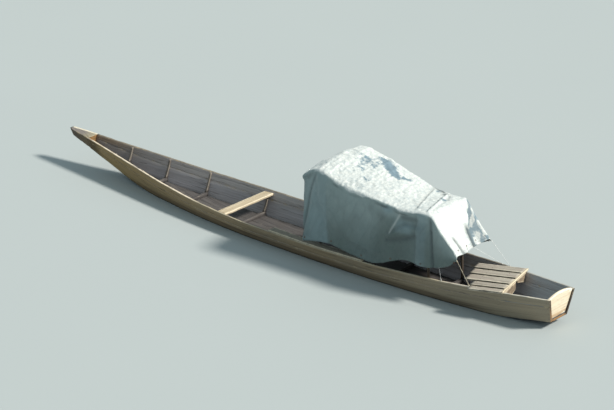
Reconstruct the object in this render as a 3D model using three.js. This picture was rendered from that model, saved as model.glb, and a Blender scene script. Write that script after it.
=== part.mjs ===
// A flat-bottomed planked river boat with a tarpaulin shelter and a loose slatted platform, in millimetres.
// +X points to the bow, +Y to port and +Z up. The origin is under midships, on the flat of the bottom.
import * as THREE from 'three';

// Hull lines from stern to bow. Columns: x, distance forward of midships; beam, half width at the gunwale;
// sheer, height of the gunwale; chine, half width of the bottom; keel, height of the bottom.
const HULL = [
  { x: -3750, beam: 230, sheer: 481, chine: 142, keel: 190 },
  { x: -3000, beam: 346, sheer: 422, chine: 256, keel: 102 },
  { x: -2100, beam: 440, sheer: 358, chine: 331, keel: 28 },
  { x: -1200, beam: 486, sheer: 317, chine: 372, keel: 0 },
  { x: -400, beam: 499, sheer: 304, chine: 385, keel: 0 },
  { x: 400, beam: 491, sheer: 306, chine: 376, keel: 0 },
  { x: 1100, beam: 445, sheer: 322, chine: 338, keel: 14 },
  { x: 1800, beam: 358, sheer: 358, chine: 259, keel: 56 },
  { x: 2500, beam: 243, sheer: 414, chine: 150, keel: 130 },
  { x: 3100, beam: 140, sheer: 465, chine: 64, keel: 257 },
  { x: 3500, beam: 80, sheer: 498, chine: 36, keel: 368 },
  { x: 3680, beam: 56, sheer: 511, chine: 26, keel: 418 },
  { x: 3750, beam: 34, sheer: 517, chine: 18, keel: 442 },
];

// Planking
const SIDE_THICK = 26;
const BOTTOM_THICK = 26;
const SEAM_SHARE = 0.68; // height of the seam between the two side planks, as a share of the side
const SEAM_SHARE_GAP = 0.0008;
const TOUCH = 0.4; // clearance left where two pieces meet
const SIDE_TOUCH = 0.8; // the same, on the twisted inside of the side planks
const CENTRE_HALF_WIDTH = 98; // of the middle bottom plank
const NIB = 12; // least width of a side bottom plank, where it stops
const STATION_COUNT = 44; // the planks are straight between these
const FIRST_STATION_X = -3680;
const LAST_STATION_X = 3340;

// Ends of the hull
const STERN_TOP_X = -3750;
const STERN_FOOT_X = -3716;
const BOW_BLOCK_X = 3390;
const BOW_TIP_TOP_X = 3750;
const BOW_TIP_FOOT_X = 3700;
const TRANSOM_INSET = 14;
const TRANSOM_THICK = 28;
const TRANSOM_ARCH = 40;

// Frames. Columns: name, station, whether ribs stand on the floor timber there, height left under the gunwale
const FRAMES = [
  { name: 'bow', x: 2850, ribs: true, below: 10 },
  { name: 'fore', x: 2310, ribs: true, below: 10 },
  { name: 'waist', x: 1725, ribs: true, below: 10 },
  { name: 'thwart', x: 870, ribs: true, below: 49 },
  { name: 'shelter_fore', x: -620, ribs: false, below: 0 },
  { name: 'shelter_mid', x: -1400, ribs: false, below: 0 },
  { name: 'shelter_aft', x: -2150, ribs: false, below: 0 },
];
const FLOOR_WIDE = 42;
const FLOOR_TALL = 40;
const RIB_WIDE = 26;
const RIB_HEAD = 18;
const RIB_FOOT = 36;

const THWART_X = 870;
const THWART_WIDE = 130;
const THWART_THICK = 28;
const THWART_BELOW = 20; // top face under the gunwale

// Knees under the platform's end beam, skewed as it is. drop is their depth at the wall, inner at their inner end.
const KNEE_THICK = 26;
const KNEE_BEHIND = 6; // inset of their aft faces from that of the end beam
const KNEE_BELOW = 3; // top edge under the gunwale's height
const KNEE_ROUND = 16;
const KNEES = [
  { side: 1, name: 'port', reach: 335, drop: 170, inner: 90 },
  { side: -1, name: 'starboard', reach: 255, drop: 108, inner: 32 },
];

// Worn board on the port gunwale beside the shelter
const BOARD = { foreX: 60, aftX: -1320, wide: 112, thick: 20 };

// Slatted platform across the stern, turned and tilted, measured from its aft starboard corner.
// Columns of the slats: from, distance to port of that corner; wide; length, from the platform's aft edge.
const PLATFORM = { x: -3020, y: -345, yaw: 15.5, length: 600, thick: 22 };
const SLATS = [
  { from: -30, wide: 130, length: 600 },
  { from: 144, wide: 124, length: 575 },
  { from: 312, wide: 138, length: 555 },
  { from: 494, wide: 99, length: 432 },
  { from: 637, wide: 81, length: 415 },
];
const END_BEAM_WIDE = 24;
const BATTENS = [
  { name: 'aft', at: 120, from: 40, to: 590 },
  { name: 'fore', at: 365, from: 30, to: 565 },
];
const BATTEN_WIDE = 46;
const BATTEN_TALL = 22;

// Shelter from aft to fore. Columns: x; port and starboard, height of the cloth at each shoulder;
// crown, rise of the middle over the shoulders; half, half width at the shoulders; hemPort and hemStarboard,
// height of the lower edges over the gunwale; tuck, distance of the lower edges inside the hull's outer face;
// skew, how far forward the starboard side stands of the port side; lean, how far forward the top stands of the
// lower edges.
const SHELTER = [
  { x: -2600, port: 715, starboard: 650, crown: 10, half: 385, hemPort: 285, hemStarboard: 238, tuck: 0, skew: 130, lean: 0 },
  { x: -2380, port: 925, starboard: 860, crown: 15, half: 380, hemPort: 150, hemStarboard: 150, tuck: 8, skew: 105, lean: 0 },
  { x: -2180, port: 1085, starboard: 1040, crown: 20, half: 375, hemPort: 130, hemStarboard: 60, tuck: 12, skew: 75, lean: 0 },
  { x: -1800, port: 1050, starboard: 1035, crown: 25, half: 388, hemPort: 118, hemStarboard: 1, tuck: 14, skew: 20, lean: 0 },
  { x: -1400, port: 1075, starboard: 1110, crown: 35, half: 398, hemPort: 24, hemStarboard: 1, tuck: 12, skew: 0, lean: 0 },
  { x: -950, port: 1125, starboard: 1225, crown: 50, half: 402, hemPort: 92, hemStarboard: 1, tuck: 12, skew: 0, lean: 0 },
  { x: -620, port: 1200, starboard: 1255, crown: 60, half: 402, hemPort: 76, hemStarboard: 1, tuck: 12, skew: 0, lean: 0 },
  { x: -500, port: 1160, starboard: 1190, crown: 55, half: 402, hemPort: 48, hemStarboard: 1, tuck: 14, skew: 0, lean: 35 },
  { x: -420, port: 1080, starboard: 1100, crown: 45, half: 408, hemPort: 32, hemStarboard: 1, tuck: 16, skew: 0, lean: 70 },
];
const SKEW_HALF_WIDTH = 400;
const LEAN_SHARE = 0.4; // of a wall's height at which its lean doesn't move it
const CLOTH_THICK = 6;
const CLOTH_STEPS = 3; // between two rows of the table
const SHOULDER_ROUND = 55;
const RAIL_RADIUS = 13;
const BAR_RADIUS = 15;
const BAR_REACH = 12; // of a crossbar past the rail's axis
const ARCH_SLACK = 2; // of the bars' arch under the cloth's
const SLOPE_STEP = 60; // over which the slope of a pole is taken
const POST_RADIUS = 17;
const POST_INSET = 46; // head of a post inside the cloth's shoulder
const POST_CLEAR = 6; // between the foot of a post and the side planks
const RAIL_ANGLE = Math.PI / 3; // of the rail round the centre of the cloth's shoulder
const CLOTH_CLEAR = 4;
const POLE_SIDES = 14;
const RAIL_OVERHANG = 40;
const POST_STATIONS = ['fore', 'mid', 'aft'];

// Guy lines from the cloth's aft corners to the gunwales
const GUY_RADIUS = 3;
const GUYS = [
  { side: 1, name: 'port', hem: 'hemPort', footX: -2765 },
  { side: -1, name: 'starboard', hem: 'hemStarboard', footX: -2770 },
];

const weatheredWood = new THREE.MeshStandardMaterial({ color: 0x8d8577, roughness: 0.9, metalness: 0 });
const sideWood = new THREE.MeshStandardMaterial({ color: 0x6f664c, roughness: 0.85, metalness: 0 });
const bareWood = new THREE.MeshStandardMaterial({ color: 0xcdbd9c, roughness: 0.85, metalness: 0 });
const slatWood = new THREE.MeshStandardMaterial({ color: 0xb7ab9d, roughness: 0.9, metalness: 0 });
const poleWood = new THREE.MeshStandardMaterial({ color: 0x9a8560, roughness: 0.8, metalness: 0 });
const tarpaulin = new THREE.MeshStandardMaterial({ color: 0x9fb4b8, roughness: 0.6, metalness: 0 });
const rope = new THREE.MeshStandardMaterial({ color: 0xc9c3b2, roughness: 0.9, metalness: 0 });

const boat = new THREE.Group();

function addMesh(name, geometry, material, parent = boat) {
  const mesh = new THREE.Mesh(geometry, material);
  mesh.name = name;
  parent.add(mesh);
  return mesh;
}

// Value of one column of a table at x, on a smooth curve that never overshoots its rows
function lineAt(table, column, x) {
  const last = table.length - 1;
  const slope = (k) => (table[k + 1][column] - table[k][column]) / (table[k + 1].x - table[k].x);
  const tangent = (k) => {
    if (k === 0) return slope(0);
    if (k === last) return slope(last - 1);
    const product = slope(k - 1) * slope(k);
    return product <= 0 ? 0 : (2 * product) / (slope(k - 1) + slope(k));
  };
  let row = 0;
  while (row < last - 1 && x > table[row + 1].x) row += 1;
  const span = table[row + 1].x - table[row].x;
  const t = (x - table[row].x) / span;
  const rise = table[row + 1][column] - table[row][column];
  const start = tangent(row) * span;
  const end = tangent(row + 1) * span;
  return table[row][column] + t * start + t * t * (3 * rise - 2 * start - end) + t ** 3 * (start + end - 2 * rise);
}

const spread = (from, to, steps) => Array.from({ length: steps + 1 }, (_, i) => from + ((to - from) * i) / steps);

// Stations between which the hull's lines are straight, so that pieces cut to them fit the planks
const STATIONS = [STERN_TOP_X, ...spread(FIRST_STATION_X, LAST_STATION_X, STATION_COUNT),
  ...spread(BOW_BLOCK_X, BOW_TIP_TOP_X, 6)];

function hullLineAt(column, x) {
  let k = 0;
  while (k < STATIONS.length - 2 && x > STATIONS[k + 1]) k += 1;
  const t = (x - STATIONS[k]) / (STATIONS[k + 1] - STATIONS[k]);
  return (1 - t) * lineAt(HULL, column, STATIONS[k]) + t * lineAt(HULL, column, STATIONS[k + 1]);
}

const sheerAt = (x) => hullLineAt('sheer', x);
const keelAt = (x) => hullLineAt('keel', x);
const chineAt = (x) => hullLineAt('chine', x);
const beamAt = (x) => hullLineAt('beam', x);

// All stations from one end of a piece to the other, with the ends themselves
function stationsBetween(fromX, toX) {
  return [fromX, ...STATIONS.filter((x) => x > Math.max(fromX, FIRST_STATION_X - 1) && x < toX), toX];
}

// Half width of the outside of the hull at a height, and of the room between the side planks
function outsideAt(x, z) {
  const share = (z - keelAt(x)) / (sheerAt(x) - keelAt(x));
  return chineAt(x) + (beamAt(x) - chineAt(x)) * share;
}
const insideAt = (x, z) => outsideAt(x, z) - SIDE_THICK - SIDE_TOUCH;

// Closed solid between two grids of points with the same rows and columns
function slab(front, back) {
  const rows = front.length;
  const columns = front[0].length;
  const positions = [...front.flat(), ...back.flat()].flat();
  const at = (row, column) => row * columns + column;
  const behind = rows * columns;
  const triangles = [];
  for (let row = 0; row < rows - 1; row += 1) {
    for (let column = 0; column < columns - 1; column += 1) {
      const [a, b, c, d] = [at(row, column), at(row, column + 1), at(row + 1, column + 1), at(row + 1, column)];
      triangles.push([a, b, c], [a, c, d]);
      triangles.push([a + behind, c + behind, b + behind], [a + behind, d + behind, c + behind]);
    }
  }
  const rim = [];
  for (let column = 0; column < columns - 1; column += 1) rim.push(at(0, column));
  for (let row = 0; row < rows - 1; row += 1) rim.push(at(row, columns - 1));
  for (let column = columns - 1; column > 0; column -= 1) rim.push(at(rows - 1, column));
  for (let row = rows - 1; row > 0; row -= 1) rim.push(at(row, 0));
  rim.forEach((a, i) => {
    const b = rim[(i + 1) % rim.length];
    triangles.push([b, a, a + behind], [b, a + behind, b + behind]);
  });
  return facingOut(positions, triangles);
}

// Geometry of a closed surface, turned so that its faces point outwards
function facingOut(positions, triangles) {
  const corner = (i) => new THREE.Vector3().fromArray(positions, 3 * i);
  const volume = triangles.reduce((sum, [a, b, c]) => sum + corner(a).dot(corner(b).cross(corner(c))), 0);
  const order = volume < 0 ? triangles.map(([a, b, c]) => [a, c, b]) : triangles;
  const geometry = new THREE.BufferGeometry();
  geometry.setAttribute('position', new THREE.Float32BufferAttribute(positions, 3));
  geometry.setIndex(order.flat());
  geometry.computeVertexNormals();
  return geometry;
}

// Round pole along a list of points
function pole(points, radius, sides = POLE_SIDES) {
  const corners = points.map((p) => new THREE.Vector3(...p));
  const path = corners.length === 2 ? new THREE.LineCurve3(...corners) : new THREE.CatmullRomCurve3(corners);
  const ring = spread(0, 2 * Math.PI, sides).slice(0, -1)
    .map((angle) => new THREE.Vector2(radius * Math.cos(angle), radius * Math.sin(angle)));
  const steps = corners.length === 2 ? 1 : 4 * (corners.length - 1);
  return new THREE.ExtrudeGeometry(new THREE.Shape(ring), { steps, extrudePath: path, bevelEnabled: false });
}

// Side planks, a lower and an upper one on each side
function sidePlank(side, lowShare, highShare) {
  const face = (depth) => [lowShare, highShare].map((share) => {
    const aftX = STERN_FOOT_X + (STERN_TOP_X - STERN_FOOT_X) * share;
    return stationsBetween(aftX, BOW_BLOCK_X - TOUCH).map((x) => {
      const z = keelAt(x) + (sheerAt(x) - keelAt(x)) * share;
      return [x, side * (outsideAt(x, z) - depth), z];
    });
  });
  return slab(face(0), face(SIDE_THICK));
}

function addSides() {
  [[1, 'port'], [-1, 'starboard']].forEach(([side, name]) => {
    addMesh(`lower_side_${name}`, sidePlank(side, 0, SEAM_SHARE - SEAM_SHARE_GAP), sideWood);
    addMesh(`upper_side_${name}`, sidePlank(side, SEAM_SHARE + SEAM_SHARE_GAP, 1), sideWood);
  });
}

// Bottom planks between the sides: a middle one, and one on each side that stops where the bottom narrows
const bottomEdgeAt = (x) => chineAt(x) - SIDE_THICK - SIDE_TOUCH;

function nibX() {
  let x = 1500;
  while (bottomEdgeAt(x) > CENTRE_HALF_WIDTH + NIB) x += 1;
  return x;
}

function bottomPlank(stations, edges) {
  const face = (rise) => [0, 1].map((edge) => stations.map((x) => [x, edges(x)[edge], keelAt(x) + rise]));
  return slab(face(0), face(BOTTOM_THICK));
}

function addBottom() {
  const stopX = nibX();
  const aft = stationsBetween(STERN_FOOT_X, stopX + TOUCH);
  const fore = stationsBetween(stopX + 2 * TOUCH, BOW_BLOCK_X - TOUCH);
  const middle = (x) => (x > stopX + TOUCH ? bottomEdgeAt(x) : CENTRE_HALF_WIDTH - TOUCH / 2);
  addMesh('bottom_plank_middle', bottomPlank([...aft, ...fore], (x) => [-middle(x), middle(x)]), weatheredWood);
  const side = stationsBetween(STERN_FOOT_X, stopX);
  addMesh('bottom_plank_port', bottomPlank(side, (x) => [CENTRE_HALF_WIDTH + TOUCH / 2, bottomEdgeAt(x)]), weatheredWood);
  addMesh('bottom_plank_starboard', bottomPlank(side, (x) => [-bottomEdgeAt(x), -CENTRE_HALF_WIDTH - TOUCH / 2]), weatheredWood);
}

// Solid block that closes the bow, with a raked blunt end
function addBowBlock() {
  const face = (tipX, width, height) => [1, -1].map((side) => spread(BOW_BLOCK_X, tipX, 7)
    .map((x) => [x, side * width(x), height(x)]));
  addMesh('bow_block', slab(face(BOW_TIP_TOP_X, beamAt, sheerAt), face(BOW_TIP_FOOT_X, chineAt, keelAt)), bareWood);
}

// Transom let in between the planks a little before their ends, raked like them, with an arched top
function addTransom() {
  const footZ = keelAt(STERN_FOOT_X) + BOTTOM_THICK + TOUCH;
  const sideZ = sheerAt(STERN_TOP_X) - 4;
  const rake = (STERN_TOP_X - STERN_FOOT_X) / (sideZ - footZ);
  const face = (forward) => spread(0, 1, 5).map((share) => spread(-1, 1, 12).map((across) => {
    const topZ = sideZ + TRANSOM_ARCH * (1 - across * across);
    const z = footZ + (topZ - footZ) * share;
    const x = STERN_FOOT_X + TRANSOM_INSET + forward + rake * (z - footZ);
    const levelZ = footZ + (sideZ - footZ) * share;
    return [x, across * insideAt(x, levelZ), z];
  }));
  addMesh('transom', slab(face(0), face(TRANSOM_THICK)), bareWood);
}

// Timber across the bottom, its ends cut to the flare of the sides
function floorTimber(x) {
  const foot = Math.max(keelAt(x - FLOOR_WIDE / 2), keelAt(x + FLOOR_WIDE / 2)) + BOTTOM_THICK + TOUCH;
  const end = (side) => [foot, foot + FLOOR_TALL].map((z) => [x - FLOOR_WIDE / 2, x + FLOOR_WIDE / 2]
    .map((edge) => [edge, side * insideAt(edge, foot), z]));
  return slab(end(1), end(-1));
}

const floorTopAt = (x) => Math.max(keelAt(x - FLOOR_WIDE / 2), keelAt(x + FLOOR_WIDE / 2))
  + BOTTOM_THICK + TOUCH + FLOOR_TALL;

// Rib on the inside of the side planks, thicker at its foot
function rib(x, side, below) {
  const edges = [x - RIB_WIDE / 2, x + RIB_WIDE / 2];
  const footZ = floorTopAt(x) + TOUCH;
  const headZ = sheerAt(x) - below;
  const face = (depth) => [0, 0.5, 1].map((share) => edges.map((edge) => {
    const z = footZ + (headZ - footZ) * share;
    return [edge, side * (insideAt(edge, z) - depth(share)), z];
  }));
  return slab(face(() => 0), face((share) => RIB_HEAD + (RIB_FOOT - RIB_HEAD) * (1 - share) ** 2));
}

function addFrames() {
  FRAMES.forEach(({ name, x, ribs, below }) => {
    addMesh(`floor_${name}`, floorTimber(x), weatheredWood);
    if (!ribs) return;
    addMesh(`rib_${name}_port`, rib(x, 1, below), weatheredWood);
    addMesh(`rib_${name}_starboard`, rib(x, -1, below), weatheredWood);
  });
}

function addThwart() {
  const topZ = sheerAt(THWART_X) - THWART_BELOW;
  const face = (z) => [THWART_X - THWART_WIDE / 2, THWART_X + THWART_WIDE / 2]
    .map((x) => [-1, 1].map((side) => [x, side * insideAt(x, topZ - THWART_THICK), z]));
  addMesh('thwart', slab(face(topZ), face(topZ - THWART_THICK)), bareWood);
}

// Point of the vertical plane that a knee's face lies in. along is measured as on the platform's end beam.
function kneePoint(along, forward) {
  const yaw = THREE.MathUtils.degToRad(PLATFORM.yaw);
  return [
    PLATFORM.x + forward * Math.cos(yaw) - along * Math.sin(yaw),
    PLATFORM.y + forward * Math.sin(yaw) + along * Math.cos(yaw),
  ];
}

// Place along that plane where it meets the inside of the hull at a height
function kneeWall(side, forward, z) {
  const yaw = THREE.MathUtils.degToRad(PLATFORM.yaw);
  let along = 0;
  for (let pass = 0; pass < 12; pass += 1) {
    const [x] = kneePoint(along, forward);
    along = (side * insideAt(x, z) - PLATFORM.y - forward * Math.sin(yaw)) / Math.cos(yaw);
  }
  return along;
}

// Brackets on the inside of the hull that the platform's end beam lies over
function addSternKnees() {
  KNEES.forEach(({ side, name, reach, drop, inner }) => {
    const face = (forward) => {
      const head = sheerAt(kneePoint(kneeWall(side, forward, sheerAt(PLATFORM.x)), forward)[0]) - KNEE_BELOW;
      const end = kneeWall(side, forward, head) - side * reach;
      const columns = [0, 0.25, 0.5, 0.75, 1 - KNEE_ROUND / reach, 1];
      return columns.map((share) => [0, 0.5, 1].map((down) => {
        const depth = drop + (inner - drop) * share - (share === 1 ? KNEE_ROUND : 0);
        const along = kneeWall(side, forward, head - depth * down) * (1 - share) + end * share;
        const [x, y] = kneePoint(along, forward);
        return [x, y, sheerAt(x) - KNEE_BELOW - depth * down];
      }));
    };
    addMesh(`stern_knee_${name}`, slab(face(KNEE_BEHIND), face(KNEE_BEHIND + KNEE_THICK)), bareWood);
  });
}

// Board along the top of the port gunwale, flush with the outside of the hull
function addGunwaleBoard() {
  const face = (rise) => [0, BOARD.wide].map((inboard) => stationsBetween(BOARD.aftX, BOARD.foreX)
    .map((x) => [x, beamAt(x) - inboard, sheerAt(x) + TOUCH + rise]));
  addMesh('gunwale_board', slab(face(0), face(BOARD.thick)), slatWood);
}

// Lowest height at which the platform's underside clears both gunwales, at its own origin
function platformSeat(yaw, tilt) {
  const forwardEnd = PLATFORM.x + PLATFORM.length * Math.cos(yaw);
  const aftEnd = PLATFORM.x - SLATS.at(-1).from * Math.sin(yaw) - SLATS.at(-1).wide;
  const heights = spread(aftEnd, forwardEnd, 20).map((x) => sheerAt(x) + Math.tan(tilt) * (x - PLATFORM.x));
  return Math.max(...heights) + TOUCH;
}

function addPlatform() {
  const yaw = THREE.MathUtils.degToRad(PLATFORM.yaw);
  const tilt = Math.atan((sheerAt(PLATFORM.x) - sheerAt(PLATFORM.x + PLATFORM.length)) / PLATFORM.length);
  const platform = new THREE.Group();
  platform.position.set(PLATFORM.x, PLATFORM.y, platformSeat(yaw, tilt));
  platform.rotation.set(0, tilt, yaw);
  boat.add(platform);

  const box = (name, size, low) => {
    const mesh = addMesh(name, new THREE.BoxGeometry(...size), slatWood, platform);
    mesh.position.set(low[0] + size[0] / 2, low[1] + size[1] / 2, low[2] + size[2] / 2);
  };
  const start = SLATS[0].from;
  const width = SLATS.at(-1).from + SLATS.at(-1).wide - start;
  box('platform_end_beam', [END_BEAM_WIDE, width, PLATFORM.thick], [0, start, 0]);
  SLATS.forEach(({ from, wide, length }, i) => {
    const aftEnd = END_BEAM_WIDE + TOUCH;
    box(`platform_slat_${i + 1}`, [length - aftEnd, wide, PLATFORM.thick], [aftEnd, from, 0]);
  });
  BATTENS.forEach(({ name, at, from, to }) => {
    box(`platform_batten_${name}`, [BATTEN_WIDE, to - from, BATTEN_TALL], [at, from, -BATTEN_TALL - TOUCH]);
  });
}

const shoulderAt = (x, side) => lineAt(SHELTER, side > 0 ? 'port' : 'starboard', x);
const halfAt = (x) => lineAt(SHELTER, 'half', x);
const crownAt = (x) => lineAt(SHELTER, 'crown', x);

// Place along the boat of a point of the shelter, after its skew
const skewed = (x, y) => x + (lineAt(SHELTER, 'skew', x) * (1 - y / SKEW_HALF_WIDTH)) / 2;

// Axis of the rail, inside the cloth's rounded shoulder, and of the crossbar under it
const railReach = SHOULDER_ROUND - CLOTH_THICK - CLOTH_CLEAR - RAIL_RADIUS;
const railZ = (x, side) => shoulderAt(x, side) - SHOULDER_ROUND + railReach * Math.sin(RAIL_ANGLE);
const railY = (x, side) => side * (halfAt(x) - SHOULDER_ROUND + railReach * Math.cos(RAIL_ANGLE));

// Distance, straight down, between the axes of two crossing poles that touch, at a slope along and across the boat
const seat = (along, across) => (RAIL_RADIUS + BAR_RADIUS + 2 * TOUCH) * Math.hypot(1, along) * Math.hypot(1, across);

// Height of a crossbar's axis across the boat: it carries the rails, and arches up to the ridge pole
function barZ(x, y) {
  const reach = railY(x, 1);
  const arch = crownAt(x) - ARCH_SLACK;
  const lean = (railZ(x, 1) - railZ(x, -1)) / 2;
  const [port, starboard] = [1, -1].map((side) => {
    const along = (railZ(x + SLOPE_STEP, side) - railZ(x - SLOPE_STEP, side)) / (2 * SLOPE_STEP);
    return railZ(x, side) - seat(along, (2 * arch - side * lean) / reach);
  });
  const across = y / reach;
  return (port + starboard) / 2 + ((port - starboard) / 2) * across + arch * (1 - across * across);
}

// Height of the ridge pole's axis where it lies on a crossbar
function ridgeZ(x) {
  const along = (barZ(x + SLOPE_STEP, 0) - barZ(x - SLOPE_STEP, 0)) / (2 * SLOPE_STEP);
  return barZ(x, 0) + seat(along, 0) + 2 * TOUCH;
}

function addShelterFrame() {
  const stations = POST_STATIONS.map((name) => FRAMES.find((frame) => frame.name === `shelter_${name}`).x);
  stations.forEach((x, i) => {
    const name = POST_STATIONS[i];
    const endY = railY(x, 1) + BAR_REACH;
    const bar = spread(endY, -endY, 6).map((y) => [skewed(x, y), y, barZ(x, y)]);
    addMesh(`shelter_bar_${name}`, pole(bar, BAR_RADIUS), poleWood);
    [[1, 'port'], [-1, 'starboard']].forEach(([side, sideName]) => {
      const footY = insideAt(x, floorTopAt(x)) - POST_RADIUS - POST_CLEAR;
      const headY = halfAt(x) - POST_INSET;
      const barUnder = [-1, 1].map((edge) => barZ(x, side * headY + edge * POST_RADIUS));
      const headZ = Math.min(...barUnder) - BAR_RADIUS;
      const headX = skewed(x, side * headY);
      const tip = (POST_RADIUS * Math.hypot(headX - x, headY - footY)) / (headZ - floorTopAt(x));
      const ends = [[x, side * footY, floorTopAt(x) + TOUCH + tip], [headX, side * headY, headZ - tip]];
      addMesh(`shelter_post_${name}_${sideName}`, pole(ends, POST_RADIUS), poleWood);
    });
  });
  const foreX = stations[0] + RAIL_OVERHANG;
  const aftX = stations.at(-1) - RAIL_OVERHANG / 2;
  const between = (a, b) => [(2 * a + b) / 3, (a + 2 * b) / 3];
  const [fore, mid, aft] = stations;
  const run = [foreX, fore, ...between(fore, mid), mid, ...between(mid, aft), aft, aftX];
  const rail = (side) => run.map((x) => [skewed(x, railY(x, side)), railY(x, side), railZ(x, side)]);
  addMesh('shelter_rail_port', pole(rail(1), RAIL_RADIUS), poleWood);
  addMesh('shelter_rail_starboard', pole(rail(-1), RAIL_RADIUS), poleWood);
  const ridge = run.map((x) => [skewed(x, 0), 0, ridgeZ(x)]);
  addMesh('shelter_ridge_pole', pole(ridge, RAIL_RADIUS), poleWood);
}

// Points across the cloth at a station, from the port hem over the top to the starboard hem
function clothSection(x, depth) {
  const half = halfAt(x) - depth;
  const hemHalf = beamAt(x) - lineAt(SHELTER, 'tuck', x) - depth;
  const wall = (side) => [0, 0.33, 0.66].map((share) => {
    const hemZ = sheerAt(x) + lineAt(SHELTER, side > 0 ? 'hemPort' : 'hemStarboard', x);
    const topZ = shoulderAt(x, side) - SHOULDER_ROUND;
    return [x, side * (hemHalf + (half - hemHalf) * share), hemZ + (topZ - hemZ) * share];
  });
  const shoulder = (side) => [0, 25, 50, 75].map((degrees) => {
    const angle = THREE.MathUtils.degToRad(degrees);
    const round = SHOULDER_ROUND - depth;
    return [x, side * (half - round * (1 - Math.cos(angle))), shoulderAt(x, side) - SHOULDER_ROUND + round * Math.sin(angle)];
  });
  const top = [0.75, 0.4, 0, -0.4, -0.75].map((across) => {
    const level = (shoulderAt(x, 1) + shoulderAt(x, -1)) / 2 + ((shoulderAt(x, 1) - shoulderAt(x, -1)) / 2) * across;
    return [x, half * across, level + crownAt(x) * (1 - across * across) - depth];
  });
  const points = [...wall(1), ...shoulder(1), ...top, ...shoulder(-1).reverse(), ...wall(-1).reverse()];
  const leaned = (y, z) => {
    const side = y > 0 ? 1 : -1;
    const hemZ = sheerAt(x) + lineAt(SHELTER, side > 0 ? 'hemPort' : 'hemStarboard', x);
    const share = Math.min(1, (z - hemZ) / (shoulderAt(x, side) - SHOULDER_ROUND - hemZ));
    return skewed(x, y) + lineAt(SHELTER, 'lean', x) * (share - LEAN_SHARE);
  };
  return points.map(([, y, z]) => [leaned(y, z), y, z]);
}

function addCloth() {
  const stations = SHELTER.slice(1).flatMap((row, i) => spread(SHELTER[i].x, row.x, CLOTH_STEPS).slice(0, -1));
  stations.push(SHELTER.at(-1).x);
  const outer = stations.map((x) => clothSection(x, 0));
  const inner = stations.map((x) => clothSection(x, CLOTH_THICK));
  addMesh('shelter_cloth', slab(outer, inner), tarpaulin);
}

function addGuyLines() {
  const cornerX = SHELTER[0].x;
  GUYS.forEach(({ side, name, hem, footX }) => {
    const headY = beamAt(cornerX) - SHELTER[0].tuck - CLOTH_THICK / 2;
    const headX = skewed(cornerX, side * headY) - GUY_RADIUS - TOUCH;
    const head = [headX, side * headY, sheerAt(cornerX) + SHELTER[0][hem] + GUY_RADIUS];
    const footY = beamAt(footX) - SIDE_THICK / 2;
    const tip = GUY_RADIUS * Math.sin(Math.atan2(Math.hypot(headX - footX, headY - footY), head[2] - sheerAt(footX)));
    const foot = [footX, side * footY, sheerAt(footX) + tip + TOUCH];
    addMesh(`guy_line_${name}`, pole([head, foot], GUY_RADIUS, 8), rope);
  });
}

addBottom();
addSides();
addBowBlock();
addTransom();
addFrames();
addThwart();
addSternKnees();
addGunwaleBoard();
addPlatform();
addShelterFrame();
addCloth();
addGuyLines();

export default boat;
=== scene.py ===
"""Looks of a flat-bottomed wooden river boat with a cloth shelter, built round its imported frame.

Lengths are in metres and angles in degrees unless a name says otherwise.
+X points to the bow, +Y to port and +Z up, and the flat of the bottom lies at z = 0.
"""

from __future__ import annotations

import logging
import math
from dataclasses import dataclass, field
from enum import Enum
from typing import Iterable, Sequence

import bmesh
import bpy
import numpy as np
from mathutils import Matrix, Vector

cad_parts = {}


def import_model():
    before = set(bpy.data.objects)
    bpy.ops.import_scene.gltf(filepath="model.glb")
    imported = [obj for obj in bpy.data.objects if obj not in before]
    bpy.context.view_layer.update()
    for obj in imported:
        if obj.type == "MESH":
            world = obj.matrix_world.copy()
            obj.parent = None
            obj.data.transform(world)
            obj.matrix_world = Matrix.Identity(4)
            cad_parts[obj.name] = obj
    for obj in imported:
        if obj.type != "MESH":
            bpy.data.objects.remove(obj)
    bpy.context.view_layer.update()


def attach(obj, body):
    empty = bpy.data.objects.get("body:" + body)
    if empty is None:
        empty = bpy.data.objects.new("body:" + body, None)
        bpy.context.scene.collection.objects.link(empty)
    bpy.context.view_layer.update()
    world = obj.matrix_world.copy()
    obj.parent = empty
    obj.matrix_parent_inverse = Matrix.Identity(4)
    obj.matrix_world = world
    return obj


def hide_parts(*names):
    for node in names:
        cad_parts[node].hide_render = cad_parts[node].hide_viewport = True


LOG = logging.getLogger("river_boat")
HULL_BODY = "hull"
PLATFORM_BODY = "platform"
LONG_POLES = ("shelter_rail_port", "shelter_rail_starboard", "shelter_ridge_pole")
WATERLINE = 0.10
TINY = 1e-6
MOST_ROUNDED = 0.45
TURN = 2 * np.pi

Array = np.ndarray
Colour = tuple[float, float, float]
Point = tuple[float, float, float]
Line = tuple[tuple[float, float], ...]
Spots = tuple[tuple[float, float, float, float], ...]
Material = bpy.types.Material
Mesh = bpy.types.Mesh
Node = bpy.types.Node
Piece = bpy.types.Object
Socket = bpy.types.NodeSocket
Tree = bpy.types.NodeTree


class Side(Enum):
    """Side of the boat, with the sign of its y."""

    PORT = 1
    STARBOARD = -1

    @property
    def label(self) -> str:
        """Name of the side as the nodes spell it."""
        return self.name.lower()


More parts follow.
